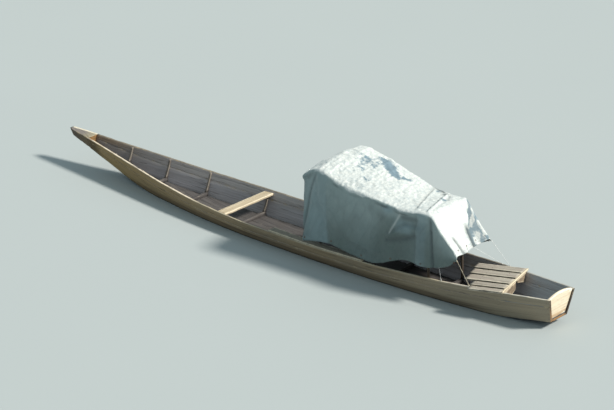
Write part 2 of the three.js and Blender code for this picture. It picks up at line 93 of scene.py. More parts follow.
def lattice_noise(points: Array, size: float, seed: int) -> Array:
    """Smooth noise over space.

    Args:
        points: Positions, one row each.
        size: Distance over which the noise changes.
        seed: Number that picks one of many noises.

    Returns:
        One value from -1 to 1 for each position.
    """
    scaled = points / size + 0.37 * seed
    cell = np.floor(scaled).astype(np.int64)
    share = scaled - cell
    ease = share * share * (3 - 2 * share)
    total = np.zeros(len(points))
    for corner in np.ndindex(2, 2, 2):
        x, y, z = (cell + np.array(corner)).T
        mixed = (x * 73856093) ^ (y * 19349663) ^ (z * 83492791) ^ (seed * 26544357)
        mixed = ((mixed ^ (mixed >> 13)) * 12741261) & 0x7FFFFFFF
        mixed = ((mixed ^ (mixed >> 11)) * 83492791) & 0x7FFFFFFF
        weight = np.prod(np.where(corner, ease, 1 - ease), axis=1)
        total += weight * ((mixed % 20011) / 10005.5 - 1)
    return total


def shake(points: Array, size: float, seed: int) -> Array:
    """Noise on each of the three axes of each position."""
    return np.stack([lattice_noise(points, size, seed + axis) for axis in range(3)], axis=1)


def smoothstep(low: float, high: float, value: Array | float) -> Array:
    """Share from 0 at low to 1 at high, with soft ends."""
    share = np.clip((np.asarray(value, float) - low) / (high - low), 0, 1)
    return share * share * (3 - 2 * share)


def bell(value: Array, middle: float, width: float, power: int = 2) -> Array:
    """Bell that is 1 at its middle. A power of 4 makes its top flatter and its sides steeper."""
    return np.exp(-(((value - middle) / width) ** power))


def lengths_along(points: Array) -> Array:
    """Distance of each point of a line from its start."""
    return np.concatenate([[0], np.cumsum(np.linalg.norm(np.diff(points, axis=0), axis=1))])


class SmoothTable:
    """Named columns against x, read on smooth curves that never overshoot the rows."""

    def __init__(self, columns: Sequence[str], rows: Sequence[Sequence[float]]) -> None:
        """Keeps the table.

        Args:
            columns: Names of the columns after x.
            rows: Rows in order of x, with x first.
        """
        self.x = [row[0] for row in rows]
        self.values = {name: [row[i + 1] for row in rows] for i, name in enumerate(columns)}

    def at(self, column: str, x: float) -> float:
        """Value of a column at x.

        Args:
            column: Name of the column.
            x: Where to read it.

        Returns:
            The value on the smooth curve.
        """
        xs, ys = self.x, self.values[column]
        last = len(xs) - 1

        def slope(k: int) -> float:
            """Slope of the straight line from row k to the next."""
            return (ys[k + 1] - ys[k]) / (xs[k + 1] - xs[k])

        def tangent(k: int) -> float:
            """Slope of the curve at row k."""
            if k in (0, last):
                return slope(min(k, last - 1))
            product = slope(k - 1) * slope(k)
            return 0.0 if product <= 0 else 2 * product / (slope(k - 1) + slope(k))

        row = 0
        while row < last - 1 and x > xs[row + 1]:
            row += 1
        span = xs[row + 1] - xs[row]
        t = (x - xs[row]) / span
        rise = ys[row + 1] - ys[row]
        start, end = tangent(row) * span, tangent(row + 1) * span
        return ys[row] + t * start + t * t * (3 * rise - 2 * start - end) + t**3 * (start + end - 2 * rise)


class Hull:
    """Lines of the hull, and the room between its planks."""

    side_thick = 0.026
    bottom_thick = 0.026
    side_touch = 0.0008
    touch = 0.0004
    stern_top_x = -3.75
    stern_foot_x = -3.716
    bow_block_x = 3.39
    lines = SmoothTable(
        ("beam", "sheer", "chine", "keel"),
        (
            (-3.75, 0.230, 0.481, 0.142, 0.190),
            (-3.00, 0.346, 0.422, 0.256, 0.102),
            (-2.10, 0.440, 0.358, 0.331, 0.028),
            (-1.20, 0.486, 0.317, 0.372, 0.0),
            (-0.40, 0.499, 0.304, 0.385, 0.0),
            (0.40, 0.491, 0.306, 0.376, 0.0),
            (1.10, 0.445, 0.322, 0.338, 0.014),
            (1.80, 0.358, 0.358, 0.259, 0.056),
            (2.50, 0.243, 0.414, 0.150, 0.130),
            (3.10, 0.140, 0.465, 0.064, 0.257),
            (3.50, 0.080, 0.498, 0.036, 0.368),
            (3.68, 0.056, 0.511, 0.026, 0.418),
            (3.75, 0.034, 0.517, 0.018, 0.442),
        ),
    )

    @classmethod
    def beam(cls, x: float) -> float:
        """Half width at the gunwale."""
        return cls.lines.at("beam", x)

    @classmethod
    def sheer(cls, x: float) -> float:
        """Height of the gunwale."""
        return cls.lines.at("sheer", x)

    @classmethod
    def chine(cls, x: float) -> float:
        """Half width of the bottom."""
        return cls.lines.at("chine", x)

    @classmethod
    def keel(cls, x: float) -> float:
        """Height of the bottom."""
        return cls.lines.at("keel", x)

    @classmethod
    def side(cls, x: float, share: float) -> tuple[float, float]:
        """Half width and height of the outside at a share of the side's height."""
        foot, low = cls.chine(x), cls.keel(x)
        return foot + (cls.beam(x) - foot) * share, low + (cls.sheer(x) - low) * share

    @classmethod
    def outside(cls, x: float, z: float) -> float:
        """Half width of the outside at a height."""
        return cls.side(x, (z - cls.keel(x)) / (cls.sheer(x) - cls.keel(x)))[0]

    @classmethod
    def inside(cls, x: float, z: float) -> float:
        """Half width of the room between the side planks at a height."""
        return cls.outside(x, z) - cls.side_thick - cls.side_touch


class Bench:
    """Adds nodes to one node tree and joins them."""

    def __init__(self, tree: Tree) -> None:
        """Keeps the tree."""
        self.tree = tree

    def add(self, kind: str, inputs: dict[str | int, object] | None = None, **settings: object) -> Node:
        """Adds a node.

        Args:
            kind: Blender's name for the node.
            inputs: Value or output socket for each named or numbered input.
            settings: Settings of the node.

        Returns:
            The node.
        """
        node = self.tree.nodes.new(kind)
        for name, value in settings.items():
            setattr(node, name, value)
        self.join(node, inputs or {})
        return node

    def join(self, node: Node, inputs: dict[str | int, object]) -> None:
        """Sets inputs of a node, or joins sockets to them.

        Args:
            node: The node.
            inputs: Value or output socket for each named or numbered input.
        """
        for name, value in inputs.items():
            if isinstance(value, Socket):
                self.tree.links.new(value, node.inputs[name])
            else:
                node.inputs[name].default_value = value

    def close(self, outputs: dict[str | int, object]) -> Tree:
        """Joins what comes out of a node group, and gives its tree."""
        self.join(self.tree.nodes.new("NodeGroupOutput"), outputs)
        return self.tree

    def group(self, tree: Tree, **inputs: object) -> Sequence[Socket]:
        """Outputs of a shader node group."""
        return self.add("ShaderNodeGroup", inputs, node_tree=tree).outputs

    def math(self, operation: str, *values: object) -> Socket:
        """Output of a Math node on numbers or sockets."""
        return self.add("ShaderNodeMath", dict(enumerate(values)), operation=operation).outputs[0]

    def times(self, first: object, second: object) -> Socket:
        """Product of two numbers or sockets."""
        return self.math("MULTIPLY", first, second)

    def plus(self, first: object, second: object) -> Socket:
        """Sum of two numbers or sockets."""
        return self.math("ADD", first, second)

    def minus(self, first: object, second: object) -> Socket:
        """Difference of two numbers or sockets."""
        return self.math("SUBTRACT", first, second)

    def from_middle(self, value: Socket, middle: float) -> Socket:
        """How far a value is from a middle, either way."""
        return self.math("ABSOLUTE", self.minus(value, middle))

    def mix(self, share: object, low: object, high: object) -> Socket:
        """Output of a colour Mix node. A colour of three numbers gets full alpha."""
        low, high = ((*tone, 1.0) if isinstance(tone, tuple) else tone for tone in (low, high))
        return self.add("ShaderNodeMix", {0: share, 6: low, 7: high}, data_type="RGBA").outputs[2]

    def ramp(
        self, value: object, low: float, high: float, to_low: float = 0.0, to_high: float = 1.0
    ) -> Socket:
        """Value mapped smoothly from one range to another."""
        inputs = {"Value": value, 1: low, 2: high, 3: to_low, 4: to_high}
        return self.add("ShaderNodeMapRange", inputs, interpolation_type="SMOOTHSTEP").outputs[0]

    def noise(self, place: Socket, scale: object, **inputs: object) -> Socket:
        """Output of a Noise texture."""
        return self.add("ShaderNodeTexNoise", {"Vector": place, "Scale": scale, **inputs}).outputs["Fac"]

    def read(self, name: str, output: str = "Fac") -> Socket:
        """Output of a node that reads an attribute of the mesh."""
        return self.add("ShaderNodeAttribute", attribute_name=name).outputs[output]

    def place(self) -> Socket:
        """Place of the point that is shaded."""
        return self.add("ShaderNodeTexCoord").outputs["Object"]

    def axes(self) -> Sequence[Socket]:
        """The three numbers of the place."""
        return self.add("ShaderNodeSeparateXYZ", {0: self.place()}).outputs


def shader_group(
    name: str, inputs: dict[str, float], outputs: Sequence[str]
) -> tuple[Bench, Sequence[Socket]]:
    """Starts a shader node group.

    Args:
        name: Name of the group.
        inputs: Number sockets and their usual values.
        outputs: Number sockets that come out.

    Returns:
        Its bench and the sockets that come in.
    """
    tree = bpy.data.node_groups.new(name, "ShaderNodeTree")
    for label, value in inputs.items():
        socket = tree.interface.new_socket(label, in_out="INPUT", socket_type="NodeSocketFloat")
        socket.default_value = value
    for label in outputs:
        tree.interface.new_socket(label, in_out="OUTPUT", socket_type="NodeSocketFloat")
    return Bench(tree), tree.nodes.new("NodeGroupInput").outputs


class Effects:
    """Shader node groups that the materials share."""

    def __init__(self) -> None:
        """Builds each group once."""
        self.grain = self._grain()
        self.wear = self._wear()
        self.mottle = self._mottle()
        self.foot_stain_and_shadow = self._foot_stain_and_shadow()

    def patches(
        self, bench: Bench, size: float, low: float = 0.45, high: float = 0.6, ragged: float = 0.6
    ) -> Socket:
        """Mask of irregular patches of one size."""
        return bench.group(self.mottle, Size=size, Low=low, High=high, Ragged=ragged)["Mask"]

    @staticmethod
    def _grain() -> Tree:
        """Lines, broad streaks and cracks of sawn wood, along the piece's own grain."""
        sizes = {"Along": 1.4, "Across": 60.0, "Warp": 0.4}
        bench, given = shader_group("Sawn grain", sizes, ("Lines", "Streaks", "Cracks"))
        scale = bench.add("ShaderNodeCombineXYZ", {0: given["Along"], 1: given["Across"], 2: given["Across"]})
        stretch = {0: bench.read("grain", "Vector"), 1: scale.outputs[0]}
        place = bench.add("ShaderNodeVectorMath", stretch, operation="MULTIPLY").outputs[0]
        broad = bench.noise(place, 0.22, Detail=3.0, Roughness=0.55)
        split = bench.from_middle(bench.noise(place, 0.6, Detail=2.0, Roughness=0.4), 0.5)
        return bench.close({
            "Lines": bench.noise(place, 1.0, Detail=5.0, Roughness=0.62, Distortion=given["Warp"]),
            "Streaks": bench.ramp(broad, 0.34, 0.66),
            "Cracks": bench.ramp(split, 0.0, 0.018, 1.0, 0.0),
        })

    @staticmethod
    def _wear() -> Tree:
        """Mask of rubbed edges, broken up by noise."""
        bench, given = shader_group("Rubbed edges", {"Amount": 0.5, "Size": 0.08}, ("Mask",))
        scale = bench.math("DIVIDE", 1.0, given["Size"])
        noise = bench.noise(bench.place(), scale, Detail=3.0, Roughness=0.7)
        edge = bench.times(bench.read("edge"), given["Amount"])
        return bench.close({"Mask": bench.ramp(bench.plus(edge, bench.minus(noise, 0.5)), 0.18, 0.5)})

    @staticmethod
    def _mottle() -> Tree:
        """Mask of irregular patches."""
        sizes = {"Size": 0.3, "Low": 0.45, "High": 0.6, "Ragged": 0.6}
        bench, given = shader_group("Patches", sizes, ("Mask",))
        scale = bench.math("DIVIDE", 1.0, given["Size"])
        noise = bench.noise(bench.place(), scale, Detail=6.0, Roughness=given["Ragged"], Distortion=0.3)
        spread = bench.add("ShaderNodeMapRange", {0: noise, 1: given["Low"], 2: given["High"]})
        return bench.close({"Mask": spread.outputs[0]})

    @staticmethod
    def _foot_stain_and_shadow() -> Tree:
        """Mask that is 1 under a height and fades out above it, with a ragged line."""
        sizes = {"Height": 0.13, "Fade": 0.03, "Ragged": 0.02}
        bench, given = shader_group("Foot stain and shadow", sizes, ("Mask",))
        noise = bench.noise(bench.place(), 7.0, Detail=4.0, Roughness=0.6)
        shift = bench.times(bench.minus(noise, 0.5), given["Ragged"])
        over = bench.minus(bench.plus(bench.axes()[2], shift), given["Height"])
        share = bench.minus(1.0, bench.math("DIVIDE", over, given["Fade"]))
        return bench.close({"Mask": bench.ramp(share, 0.0, 1.0)})


def start_material(name: str) -> tuple[Material, Bench, Node]:
    """New material with its bench and its Principled shader."""
    material = bpy.data.materials.new(name)
    material.use_nodes = True
    return material, Bench(material.node_tree), material.node_tree.nodes["Principled BSDF"]


@dataclass(frozen=True)
class WoodFinish:
    """Weathered wood: colours of its grain, and how worn and patchy it is."""

    name: str
    dark: Colour
    light: Colour
    patch: Colour
    worn: Colour
    patch_size: float = 0.35
    patch_low: float = 0.5
    patch_high: float = 0.66
    wear: float = 0.6
    along: float = 1.6
    across: float = 70.0
    rough: float = 0.82
    bump: float = 0.35
    crack: float = 0.6
    end: Colour | None = None
    end_line: Colour = (0.03, 0.02, 0.015)
    streak_share: float = 0.45
    patch_share: float = 0.7
    crack_dark: float = 0.35
    crack_deep: float = 1.5
    relief: float = 0.003

    def build(self, effects: Effects) -> Material:
        """Makes the material.

        Args:
            effects: Node groups to build it from.

        Returns:
            The material.
        """
        material, bench, shader = start_material(self.name)
        grain = bench.group(effects.grain, Along=self.along, Across=self.across)
        lines, cracks = grain["Lines"], grain["Cracks"]
        contrast = bench.ramp(lines, 0.3, 0.72)
        base = bench.mix(contrast, self.dark, self.light)
        base = bench.mix(bench.times(grain["Streaks"], self.streak_share), base, self.light)
        patches = effects.patches(bench, self.patch_size, self.patch_low, self.patch_high)
        base = bench.mix(bench.times(patches, self.patch_share), base, self.patch)
        base = self.tint(bench, effects, base)
        if self.end:
            cut = self.cut_end(bench, effects)
            cut = bench.mix(0.5, bench.mix(contrast, self.end_line, cut), cut)
            base = bench.mix(bench.ramp(bench.read("end"), 0.3, 0.8), base, cut)
        base = bench.mix(bench.group(effects.wear, Amount=self.wear)["Mask"], base, self.worn)
        crack = tuple(self.crack_dark * value for value in self.dark)
        height = bench.minus(lines, bench.times(cracks, self.crack_deep))
        relief = {"Height": height, "Strength": self.bump, "Distance": self.relief}
        bench.join(shader, {
            "Base Color": bench.mix(bench.times(cracks, self.crack), base, crack),
            "Roughness": bench.ramp(lines, 0.2, 0.8, self.rough + 0.1, self.rough - 0.12),
            "Normal": bench.add("ShaderNodeBump", relief).outputs[0],
        })
        return material

    def tint(self, bench: Bench, effects: Effects, base: Socket) -> Socket:
        """Colour changes of a special finish. A plain one has none."""
        return base

    def cut_end(self, bench: Bench, effects: Effects) -> Colour | Socket:
        """Colour of a sawn end."""
        return self.end


@dataclass(frozen=True)
class SidePlankFinish(WoodFinish):
    """Oiled side plank: golden to the bow, bare on its top edge with a painted highlight on the far rim at
    the stern, grey inside with painted fill light, stained at its foot, and with a painted band of shadow and
    reflection at the waterline.
    """

    bow: Colour = (0.43, 0.285, 0.110)
    bow_end: Colour = (0.076, 0.048, 0.017)
    aft: Colour = (0.30, 0.265, 0.205)
    inner: Colour = (0.36, 0.295, 0.265)
    inner_low: Colour = (0.33, 0.315, 0.345)
    inner_dark: Colour = (0.12, 0.105, 0.10)
    inner_stern: Colour = (0.36, 0.385, 0.41)
    # The far face's colours are lighter, bluer copies of the near face's: painted fill light.
    far: Colour = (0.58, 0.53, 0.51)
    far_low: Colour = (0.60, 0.58, 0.62)
    far_dark: Colour = (0.25, 0.225, 0.22)
    far_stern: Colour = (0.56, 0.61, 0.66)
    rim: Colour = (0.74, 0.64, 0.50)
    rim_grey: Colour = (0.40, 0.35, 0.25)
    rim_stern: Colour = (0.62, 0.57, 0.48)
    rim_far: Colour = (0.165, 0.145, 0.115)
    far_stern_rim_highlight: Colour = (0.38, 0.38, 0.36)
    end_top: Colour = (0.040, 0.027, 0.018)
    bow_inner: Colour = (0.30, 0.19, 0.10)
    stain: Colour = (0.095, 0.058, 0.030)
    # Painted shadow and reflection at the waterline.
    waterline_shadow_tone: Colour = (0.03, 0.03, 0.026)

    def tint(self, bench: Bench, effects: Effects, base: Socket) -> Socket:
        """Adds the changes along, inside and on top of the plank.

        Args:
            bench: Bench of the material.
            effects: Node groups that the materials share.
            base: Colour of the wood so far.

        Returns:
            The changed colour.
        """
        along, across = bench.axes()[:2]
        streak = bench.group(effects.grain, Along=0.7, Across=34.0)["Streaks"]
        golden = bench.mix(bench.times(streak, 0.5), self.bow, self.dark)
        base = bench.mix(bench.ramp(along, 0.4, 3.0, 0.0, 0.8), base, golden)
        base = bench.mix(bench.ramp(along, -0.6, -3.0, 0.0, 0.6), base, self.aft)
        base = bench.mix(bench.ramp(along, 3.10, 3.30, 0.0, 0.88), base, self.bow_end)
        below = bench.read("below")
        port = bench.ramp(across, -0.01, 0.01)
        inward = bench.ramp(bench.read("face"), 0.55, 0.8)
        base = bench.mix(inward, base, self._inside(bench, effects, streak, port))
        outward = bench.minus(1.0, inward)
        fore = bench.ramp(along, -3.3, -2.5)
        # A brown stain band, then a dark band at the waterline that is painted shadow and reflection of the
        # hull in the water.
        for tone, over, fade, share in ((self.stain, 0.048, 0.055, 0.62), (self.waterline_shadow_tone, 0.004, 0.018, 0.9)):
            mask = bench.group(effects.foot_stain_and_shadow, Height=WATERLINE + over, Fade=fade)["Mask"]
            mask = bench.times(mask, bench.times(outward, share))
            base = bench.mix(bench.times(mask, fore) if tone is self.stain else mask, base, tone)
        ragged = bench.noise(bench.place(), 9.0, Detail=4.0)
        edge = bench.plus(below, bench.times(bench.minus(ragged, 0.5), 0.014))
        rim = bench.mix(bench.ramp(along, 1.15, 1.5), self.rim_grey, self.rim)
        rim = bench.mix(bench.ramp(along, -2.2, -2.7), rim, self.rim_stern)
        rim = bench.mix(bench.ramp(ragged, 0.5, 0.62, 0.0, 0.55), rim, base)
        # Painted highlight: the far rim turns pale towards the stern.
        far_rim = bench.mix(bench.ramp(along, -2.7, -3.1), self.rim_far, self.far_stern_rim_highlight)
        return bench.mix(bench.ramp(edge, 0.002, 0.009, 0.92, 0.0), base, bench.mix(port, far_rim, rim))

    def _inside(self, bench: Bench, effects: Effects, streak: Socket, port: Socket) -> Socket:
        """Colour of the plank's inner face.

        Args:
            bench: Bench of the material.
            effects: Node groups that the materials share.
            streak: Broad streaks of the grain.
            port: 1 on the port side and 0 on the starboard side.

        Returns:
            The colour.
        """
        along, below = bench.axes()[0], bench.read("below")
        fine = bench.ramp(bench.group(effects.grain)["Lines"], 0.3, 0.6, 0.45, 0.0)
        faces = []
        # Painted fill light: the far face takes lighter, bluer copies of the near face's colours, and both
        # faces turn bluer and lighter towards the stern.
        for top, low, stern, dark in (
            (self.far, self.far_low, self.far_stern, self.far_dark),
            (self.inner, self.inner_low, self.inner_stern, self.inner_dark),
        ):
            face = bench.mix(bench.ramp(below, 0.09, 0.15), top, low)
            face = bench.mix(bench.ramp(along, -3.0, -3.2), face, stern)
            face = bench.mix(bench.times(streak, 0.55), face, dark)
            faces.append(bench.mix(fine, face, dark))
        inner = bench.mix(port, *faces)
        inner = bench.mix(bench.ramp(along, 1.9, 3.2, 0.0, 0.62), inner, self.inner_dark)
        brown = bench.times(bench.ramp(along, 2.6, 3.2), bench.ramp(below, 0.07, 0.03, 0.0, 0.6))
        inner = bench.mix(brown, inner, self.bow_inner)
        # Painted shadow: the strip of inner face aft of the transom takes the dark end colour.
        return bench.mix(bench.ramp(along, -3.698, -3.708), inner, self.end_top)

    def cut_end(self, bench: Bench, effects: Effects) -> Socket:
        """Colour of the plank's sawn end: dark at its top and on the far side, orange at its foot."""
        port = bench.ramp(bench.axes()[1], -0.01, 0.01)
        foot = bench.ramp(bench.read("below"), 0.06, 0.22)
        return bench.mix(bench.times(foot, port), self.end_top, self.end)


@dataclass(frozen=True)
class BowFinish(WoodFinish):
    """Bow block: scuffed grey top with a bare far edge, and sides that go from golden to dark at the tip."""

    top: Colour = (0.19, 0.175, 0.175)
    top_aft: Colour = (0.31, 0.28, 0.20)
    bare: Colour = (0.84, 0.78, 0.64)
    golden: Colour = (0.120, 0.078, 0.034)
    tip: Colour = (0.055, 0.036, 0.024)
    end_dark: Colour = (0.14, 0.095, 0.045)
    start_x: float = 3.39
    half: float = 0.098
    taper: float = 0.18

    def tint(self, bench: Bench, effects: Effects, base: Socket) -> Socket:
        """Colours each face of the block.

        Args:
            bench: Bench of the material.
            effects: Node groups that the materials share.
            base: Colour of the wood so far.

        Returns:
            The changed colour.
        """
        along, across = bench.axes()[:2]
        ahead = bench.minus(along, self.start_x)
        from_top = bench.from_middle(bench.read("face"), 1.5)
        side = bench.mix(bench.ramp(ahead, 0.04, 0.26), self.golden, self.tip)
        top = bench.mix(bench.ramp(ahead, 0.02, 0.16), self.top_aft, self.top)
        inset = bench.minus(bench.plus(across, self.half), bench.times(ahead, self.taper))
        top = bench.mix(bench.ramp(inset, 0.022, 0.036, 1.0, 0.0), top, self.bare)
        return bench.mix(0.72, base, bench.mix(bench.ramp(from_top, 0.42, 0.56), top, side))

    def cut_end(self, bench: Bench, effects: Effects) -> Socket:
        """Colour of the sawn end: orange with dark patches."""
        marks = effects.patches(bench, 0.04, 0.46, 0.58, 0.8)
        return bench.mix(bench.times(marks, 0.8), self.end, self.end_dark)


@dataclass(frozen=True)
class SlatFinish(WoodFinish):
    """Bleached slat with a few faint pink stains, and painted shade on its sides and underside."""

    stain: Colour = (0.42, 0.27, 0.27)
    painted_side_shade: Colour = (0.045, 0.036, 0.028)

    def tint(self, bench: Bench, effects: Effects, base: Socket) -> Socket:
        """Adds the stains over the wood, and painted shade on its sides and underside."""
        stains = effects.patches(bench, 0.16, 0.55, 0.70)
        base = bench.mix(bench.times(stains, 0.4), base, self.stain)
        # Painted shade: every face but the top is darkened.
        from_top = bench.from_middle(bench.read("face"), 2.5)
        return bench.mix(bench.ramp(from_top, 0.45, 0.62, 0.0, 0.8), base, self.painted_side_shade)


@dataclass(frozen=True)
class TransomFinish(WoodFinish):
    """Pale board with a stained foot and a few brown marks."""

    stain: Colour = (0.46, 0.27, 0.12)
    mark: Colour = (0.34, 0.22, 0.12)
    stain_height: float = 0.235
    stain_fade: float = 0.050

    def tint(self, bench: Bench, effects: Effects, base: Socket) -> Socket:
        """Adds the marks and the stained foot."""
        marks = effects.patches(bench, 0.07, 0.57, 0.70, 0.75)
        base = bench.mix(bench.times(marks, 0.5), base, self.mark)
        foot = bench.group(effects.foot_stain_and_shadow, Height=self.stain_height, Fade=self.stain_fade, Ragged=0.05)
        return bench.mix(bench.times(foot["Mask"], 0.7), base, self.stain)


@dataclass(frozen=True)
class ClothFinish:
    """Old tarpaulin: bleached and worn through on top, grey-green on its walls, with painted shade in its
    folds and on its walls.
    """

    name: str = "tarpaulin"
    bleached: Colour = (0.68, 0.70, 0.68)
    speckle: Colour = (0.42, 0.50, 0.53)
    worn: Colour = (0.125, 0.200, 0.255)
    # Wall colours, darker than the bleached top: partly weathering, partly painted shade; lower is painted
    # shade towards the hem.
    upper: Colour = (0.27, 0.335, 0.335)
    lower: Colour = (0.100, 0.138, 0.132)
    blue: Colour = (0.235, 0.33, 0.37)
    # Painted shade, laid on by the shade attribute, with some soiling in the folds.
    painted_shade_tone: Colour = (0.055, 0.075, 0.08)
    crinkle_shade_tone: Colour = (0.20, 0.28, 0.33)
    rough: float = 0.6
    crease_size: float = 0.045
    ragged: float = 0.7
    weave_scale: float = 180.0

    def build(self, effects: Effects) -> Material:
        """Makes the material.

        Args:
            effects: Node groups to build it from.

        Returns:
            The material.
        """
        material, bench, shader = start_material(self.name)
        place = bench.place()
        top, worn, shade, tint, drop = (bench.read(name) for name in ("top", "worn", "shade", "tint", "drop"))
        speckle = effects.patches(bench, 0.05, 0.47, 0.64, self.ragged)
        blotch = effects.patches(bench, 0.10, 0.34, 0.66, self.ragged)
        bleached = bench.mix(bench.times(speckle, 0.45), self.bleached, self.speckle)
        broken = bench.plus(bench.times(blotch, 0.34), bench.times(speckle, 0.30))
        bare = bench.ramp(bench.plus(worn, broken), 0.62, 1.02, 0.0, 0.96)
        bleached = bench.mix(bare, bleached, self.worn)
        # Painted shade: the walls darken from upper to lower as the drop attribute grows towards the hem.
        wall = bench.mix(bench.ramp(drop, 0.05, 0.95), self.upper, self.lower)
        wall = bench.mix(bench.times(tint, 0.75), wall, self.blue)
        soft = effects.patches(bench, 0.30, 0.35, 0.68, self.ragged)
        wall = bench.mix(bench.times(soft, 0.22), wall, self.lower)
        cells = {"Vector": place, "Scale": 1 / self.crease_size, "Detail": 2.0, "Roughness": 0.7}
        crumple = bench.add("ShaderNodeTexVoronoi", cells, feature="DISTANCE_TO_EDGE").outputs["Distance"]
        # Painted shade: the crinkle lines on the top are darkened.
        crease = bench.times(bench.ramp(crumple, 0.0, 0.10, 0.32, 0.0), top)
        base = bench.mix(crease, bench.mix(top, wall, bleached), self.crinkle_shade_tone)
        thread = {"Vector": place, "Scale": self.weave_scale}
        waves = [bench.add("ShaderNodeTexWave", thread, bands_direction=way) for way in ("X", "DIAGONAL")]
        weave = bench.times(bench.times(waves[0].outputs["Fac"], waves[1].outputs["Fac"]), 0.03)
        height = bench.plus(bench.times(crumple, bench.ramp(top, 0.0, 1.0, 0.25, 1.0)), weave)
        relief = {"Height": height, "Strength": 0.4, "Distance": 0.016}
        bench.join(shader, {
            # Painted shade: the shade attribute darkens the folds, the line under the shoulder, the aft facet
            # and spots on the walls.
            "Base Color": bench.mix(shade, base, self.painted_shade_tone),
            "Normal": bench.add("ShaderNodeBump", relief).outputs[0],
            "Roughness": bench.ramp(speckle, 0.0, 1.0, self.rough - 0.05, self.rough + 0.2),
            "Sheen Weight": 0.12,
        })
        return material


@dataclass(frozen=True)
class PatchyFinish:
    """Two tones in small patches, as on old cord or rusty iron."""

    name: str
    tone: Colour
    patch: Colour
    patch_size: float = 0.05
    rough: float = 0.9
    metal: float = 0.0

    def build(self, effects: Effects) -> Material:
        """Makes the material from the shared groups."""
        material, bench, shader = start_material(self.name)
        base = bench.mix(effects.patches(bench, self.patch_size), self.tone, self.patch)
        bench.join(shader, {"Base Color": base, "Roughness": self.rough, "Metallic": self.metal})
        return material


@dataclass(frozen=True)
class FloorFinish:
    """Plain pale floor with faint darker clouds."""

    name: str = "studio_floor"
    tone: Colour = (0.40, 0.44, 0.45)
    darker: float = 0.97
    rough: float = 0.75

    def build(self) -> Material:
        """Makes the material."""
        material, bench, shader = start_material(self.name)
        clouds = bench.noise(bench.place(), 0.3, Detail=2.0)
        base = bench.mix(clouds, self.tone, tuple(self.darker * value for value in self.tone))
        bench.join(shader, {"Base Color": base, "Roughness": self.rough})
        return material


class Finishes:
    """All materials of the boat."""

    def __init__(self) -> None:
        """Builds every material once."""
        effects = Effects()
        self.side = SidePlankFinish(
            name="side_planks", dark=(0.15, 0.112, 0.068), light=(0.37, 0.275, 0.17),
            patch=(0.26, 0.205, 0.14), worn=(0.46, 0.37, 0.24), wear=0.25, along=0.9, across=55.0,
            end=(0.30, 0.16, 0.07),
        ).build(effects)
        self.bottom = WoodFinish(
            name="bottom_planks", dark=(0.03, 0.028, 0.03), light=(0.11, 0.1, 0.098),
            patch=(0.07, 0.062, 0.058), worn=(0.18, 0.16, 0.14), wear=0.3, end=(0.42, 0.22, 0.08),
        ).build(effects)
        self.frame = WoodFinish(
            name="frame_wood", dark=(0.08, 0.07, 0.065), light=(0.20, 0.17, 0.15), patch=(0.14, 0.12, 0.10),
            worn=(0.30, 0.265, 0.225), wear=0.55,
        ).build(effects)
        self.pale = WoodFinish(
            name="pale_wood", dark=(0.34, 0.26, 0.16), light=(0.62, 0.53, 0.39), patch=(0.48, 0.40, 0.29),
            worn=(0.72, 0.63, 0.48), rough=0.78, end=(0.40, 0.28, 0.16),
        ).build(effects)
        self.transom = TransomFinish(
            name="transom_wood", dark=(0.62, 0.51, 0.37), light=(0.82, 0.73, 0.57),
            patch=(0.70, 0.58, 0.42), worn=(0.88, 0.82, 0.68), rough=0.75, crack=0.3,
        ).build(effects)
        self.knee = WoodFinish(
            name="knee_wood", dark=(0.13, 0.095, 0.065), light=(0.36, 0.28, 0.195),
            patch=(0.17, 0.13, 0.095), worn=(0.52, 0.44, 0.33), patch_size=0.06, patch_low=0.44,
            patch_high=0.6, wear=0.75,
        ).build(effects)
        self.bow = BowFinish(
            name="bow_wood", dark=(0.11, 0.085, 0.06), light=(0.27, 0.22, 0.16), patch=(0.20, 0.15, 0.10),
            worn=(0.36, 0.28, 0.17), wear=0.3, end=(0.46, 0.24, 0.08),
        ).build(effects)
        self.slat = SlatFinish(
            name="bleached_slats", dark=(0.2, 0.175, 0.145), light=(0.45, 0.41, 0.35),
            patch=(0.33, 0.29, 0.25), worn=(0.60, 0.54, 0.44), across=90.0, end=(0.30, 0.24, 0.17),
        ).build(effects)
        self.board = WoodFinish(
            name="board_wood", dark=(0.13, 0.115, 0.09), light=(0.30, 0.265, 0.21),
            patch=(0.21, 0.185, 0.15), worn=(0.58, 0.50, 0.37), wear=0.55, across=80.0,
            end=(0.30, 0.22, 0.14),
        ).build(effects)
        self.pole = WoodFinish(
            name="peeled_poles", dark=(0.05, 0.038, 0.027), light=(0.13, 0.1, 0.07),
            patch=(0.09, 0.072, 0.055), worn=(0.20, 0.165, 0.12), across=50.0,
        ).build(effects)
        self.cloth = ClothFinish().build(effects)
        self.cord = PatchyFinish("cord", (0.80, 0.73, 0.58), (0.50, 0.43, 0.32)).build(effects)
        self.pale_cord = PatchyFinish("pale_cord", (0.90, 0.91, 0.90), (0.72, 0.74, 0.74)).build(effects)
        self.thread = PatchyFinish("thread", (0.16, 0.19, 0.20), (0.07, 0.09, 0.10)).build(effects)
        self.iron = PatchyFinish(
            "rusty_iron", (0.16, 0.06, 0.025), (0.20, 0.18, 0.16), patch_size=0.02, rough=0.75, metal=0.4
        ).build(effects)


def new_piece(data: bpy.types.ID) -> Piece:
    """Object of a mesh, a camera or a light, linked to the scene and at the origin."""
    piece = bpy.data.objects.new(data.name, data)
    bpy.context.scene.collection.objects.link(piece)
    return piece


def finish_object(mesh: Mesh, material: Material, smooth: bool = True) -> Piece:
    """Object of a finished mesh, with its only material.

    Args:
        mesh: The mesh.
        material: Its material.
        smooth: Whether its faces are shaded smooth.

    Returns:
        The object.
    """
    mesh.materials.clear()
    mesh.materials.append(material)
    mesh.polygons.foreach_set("use_smooth", [smooth] * len(mesh.polygons))
    return new_piece(mesh)


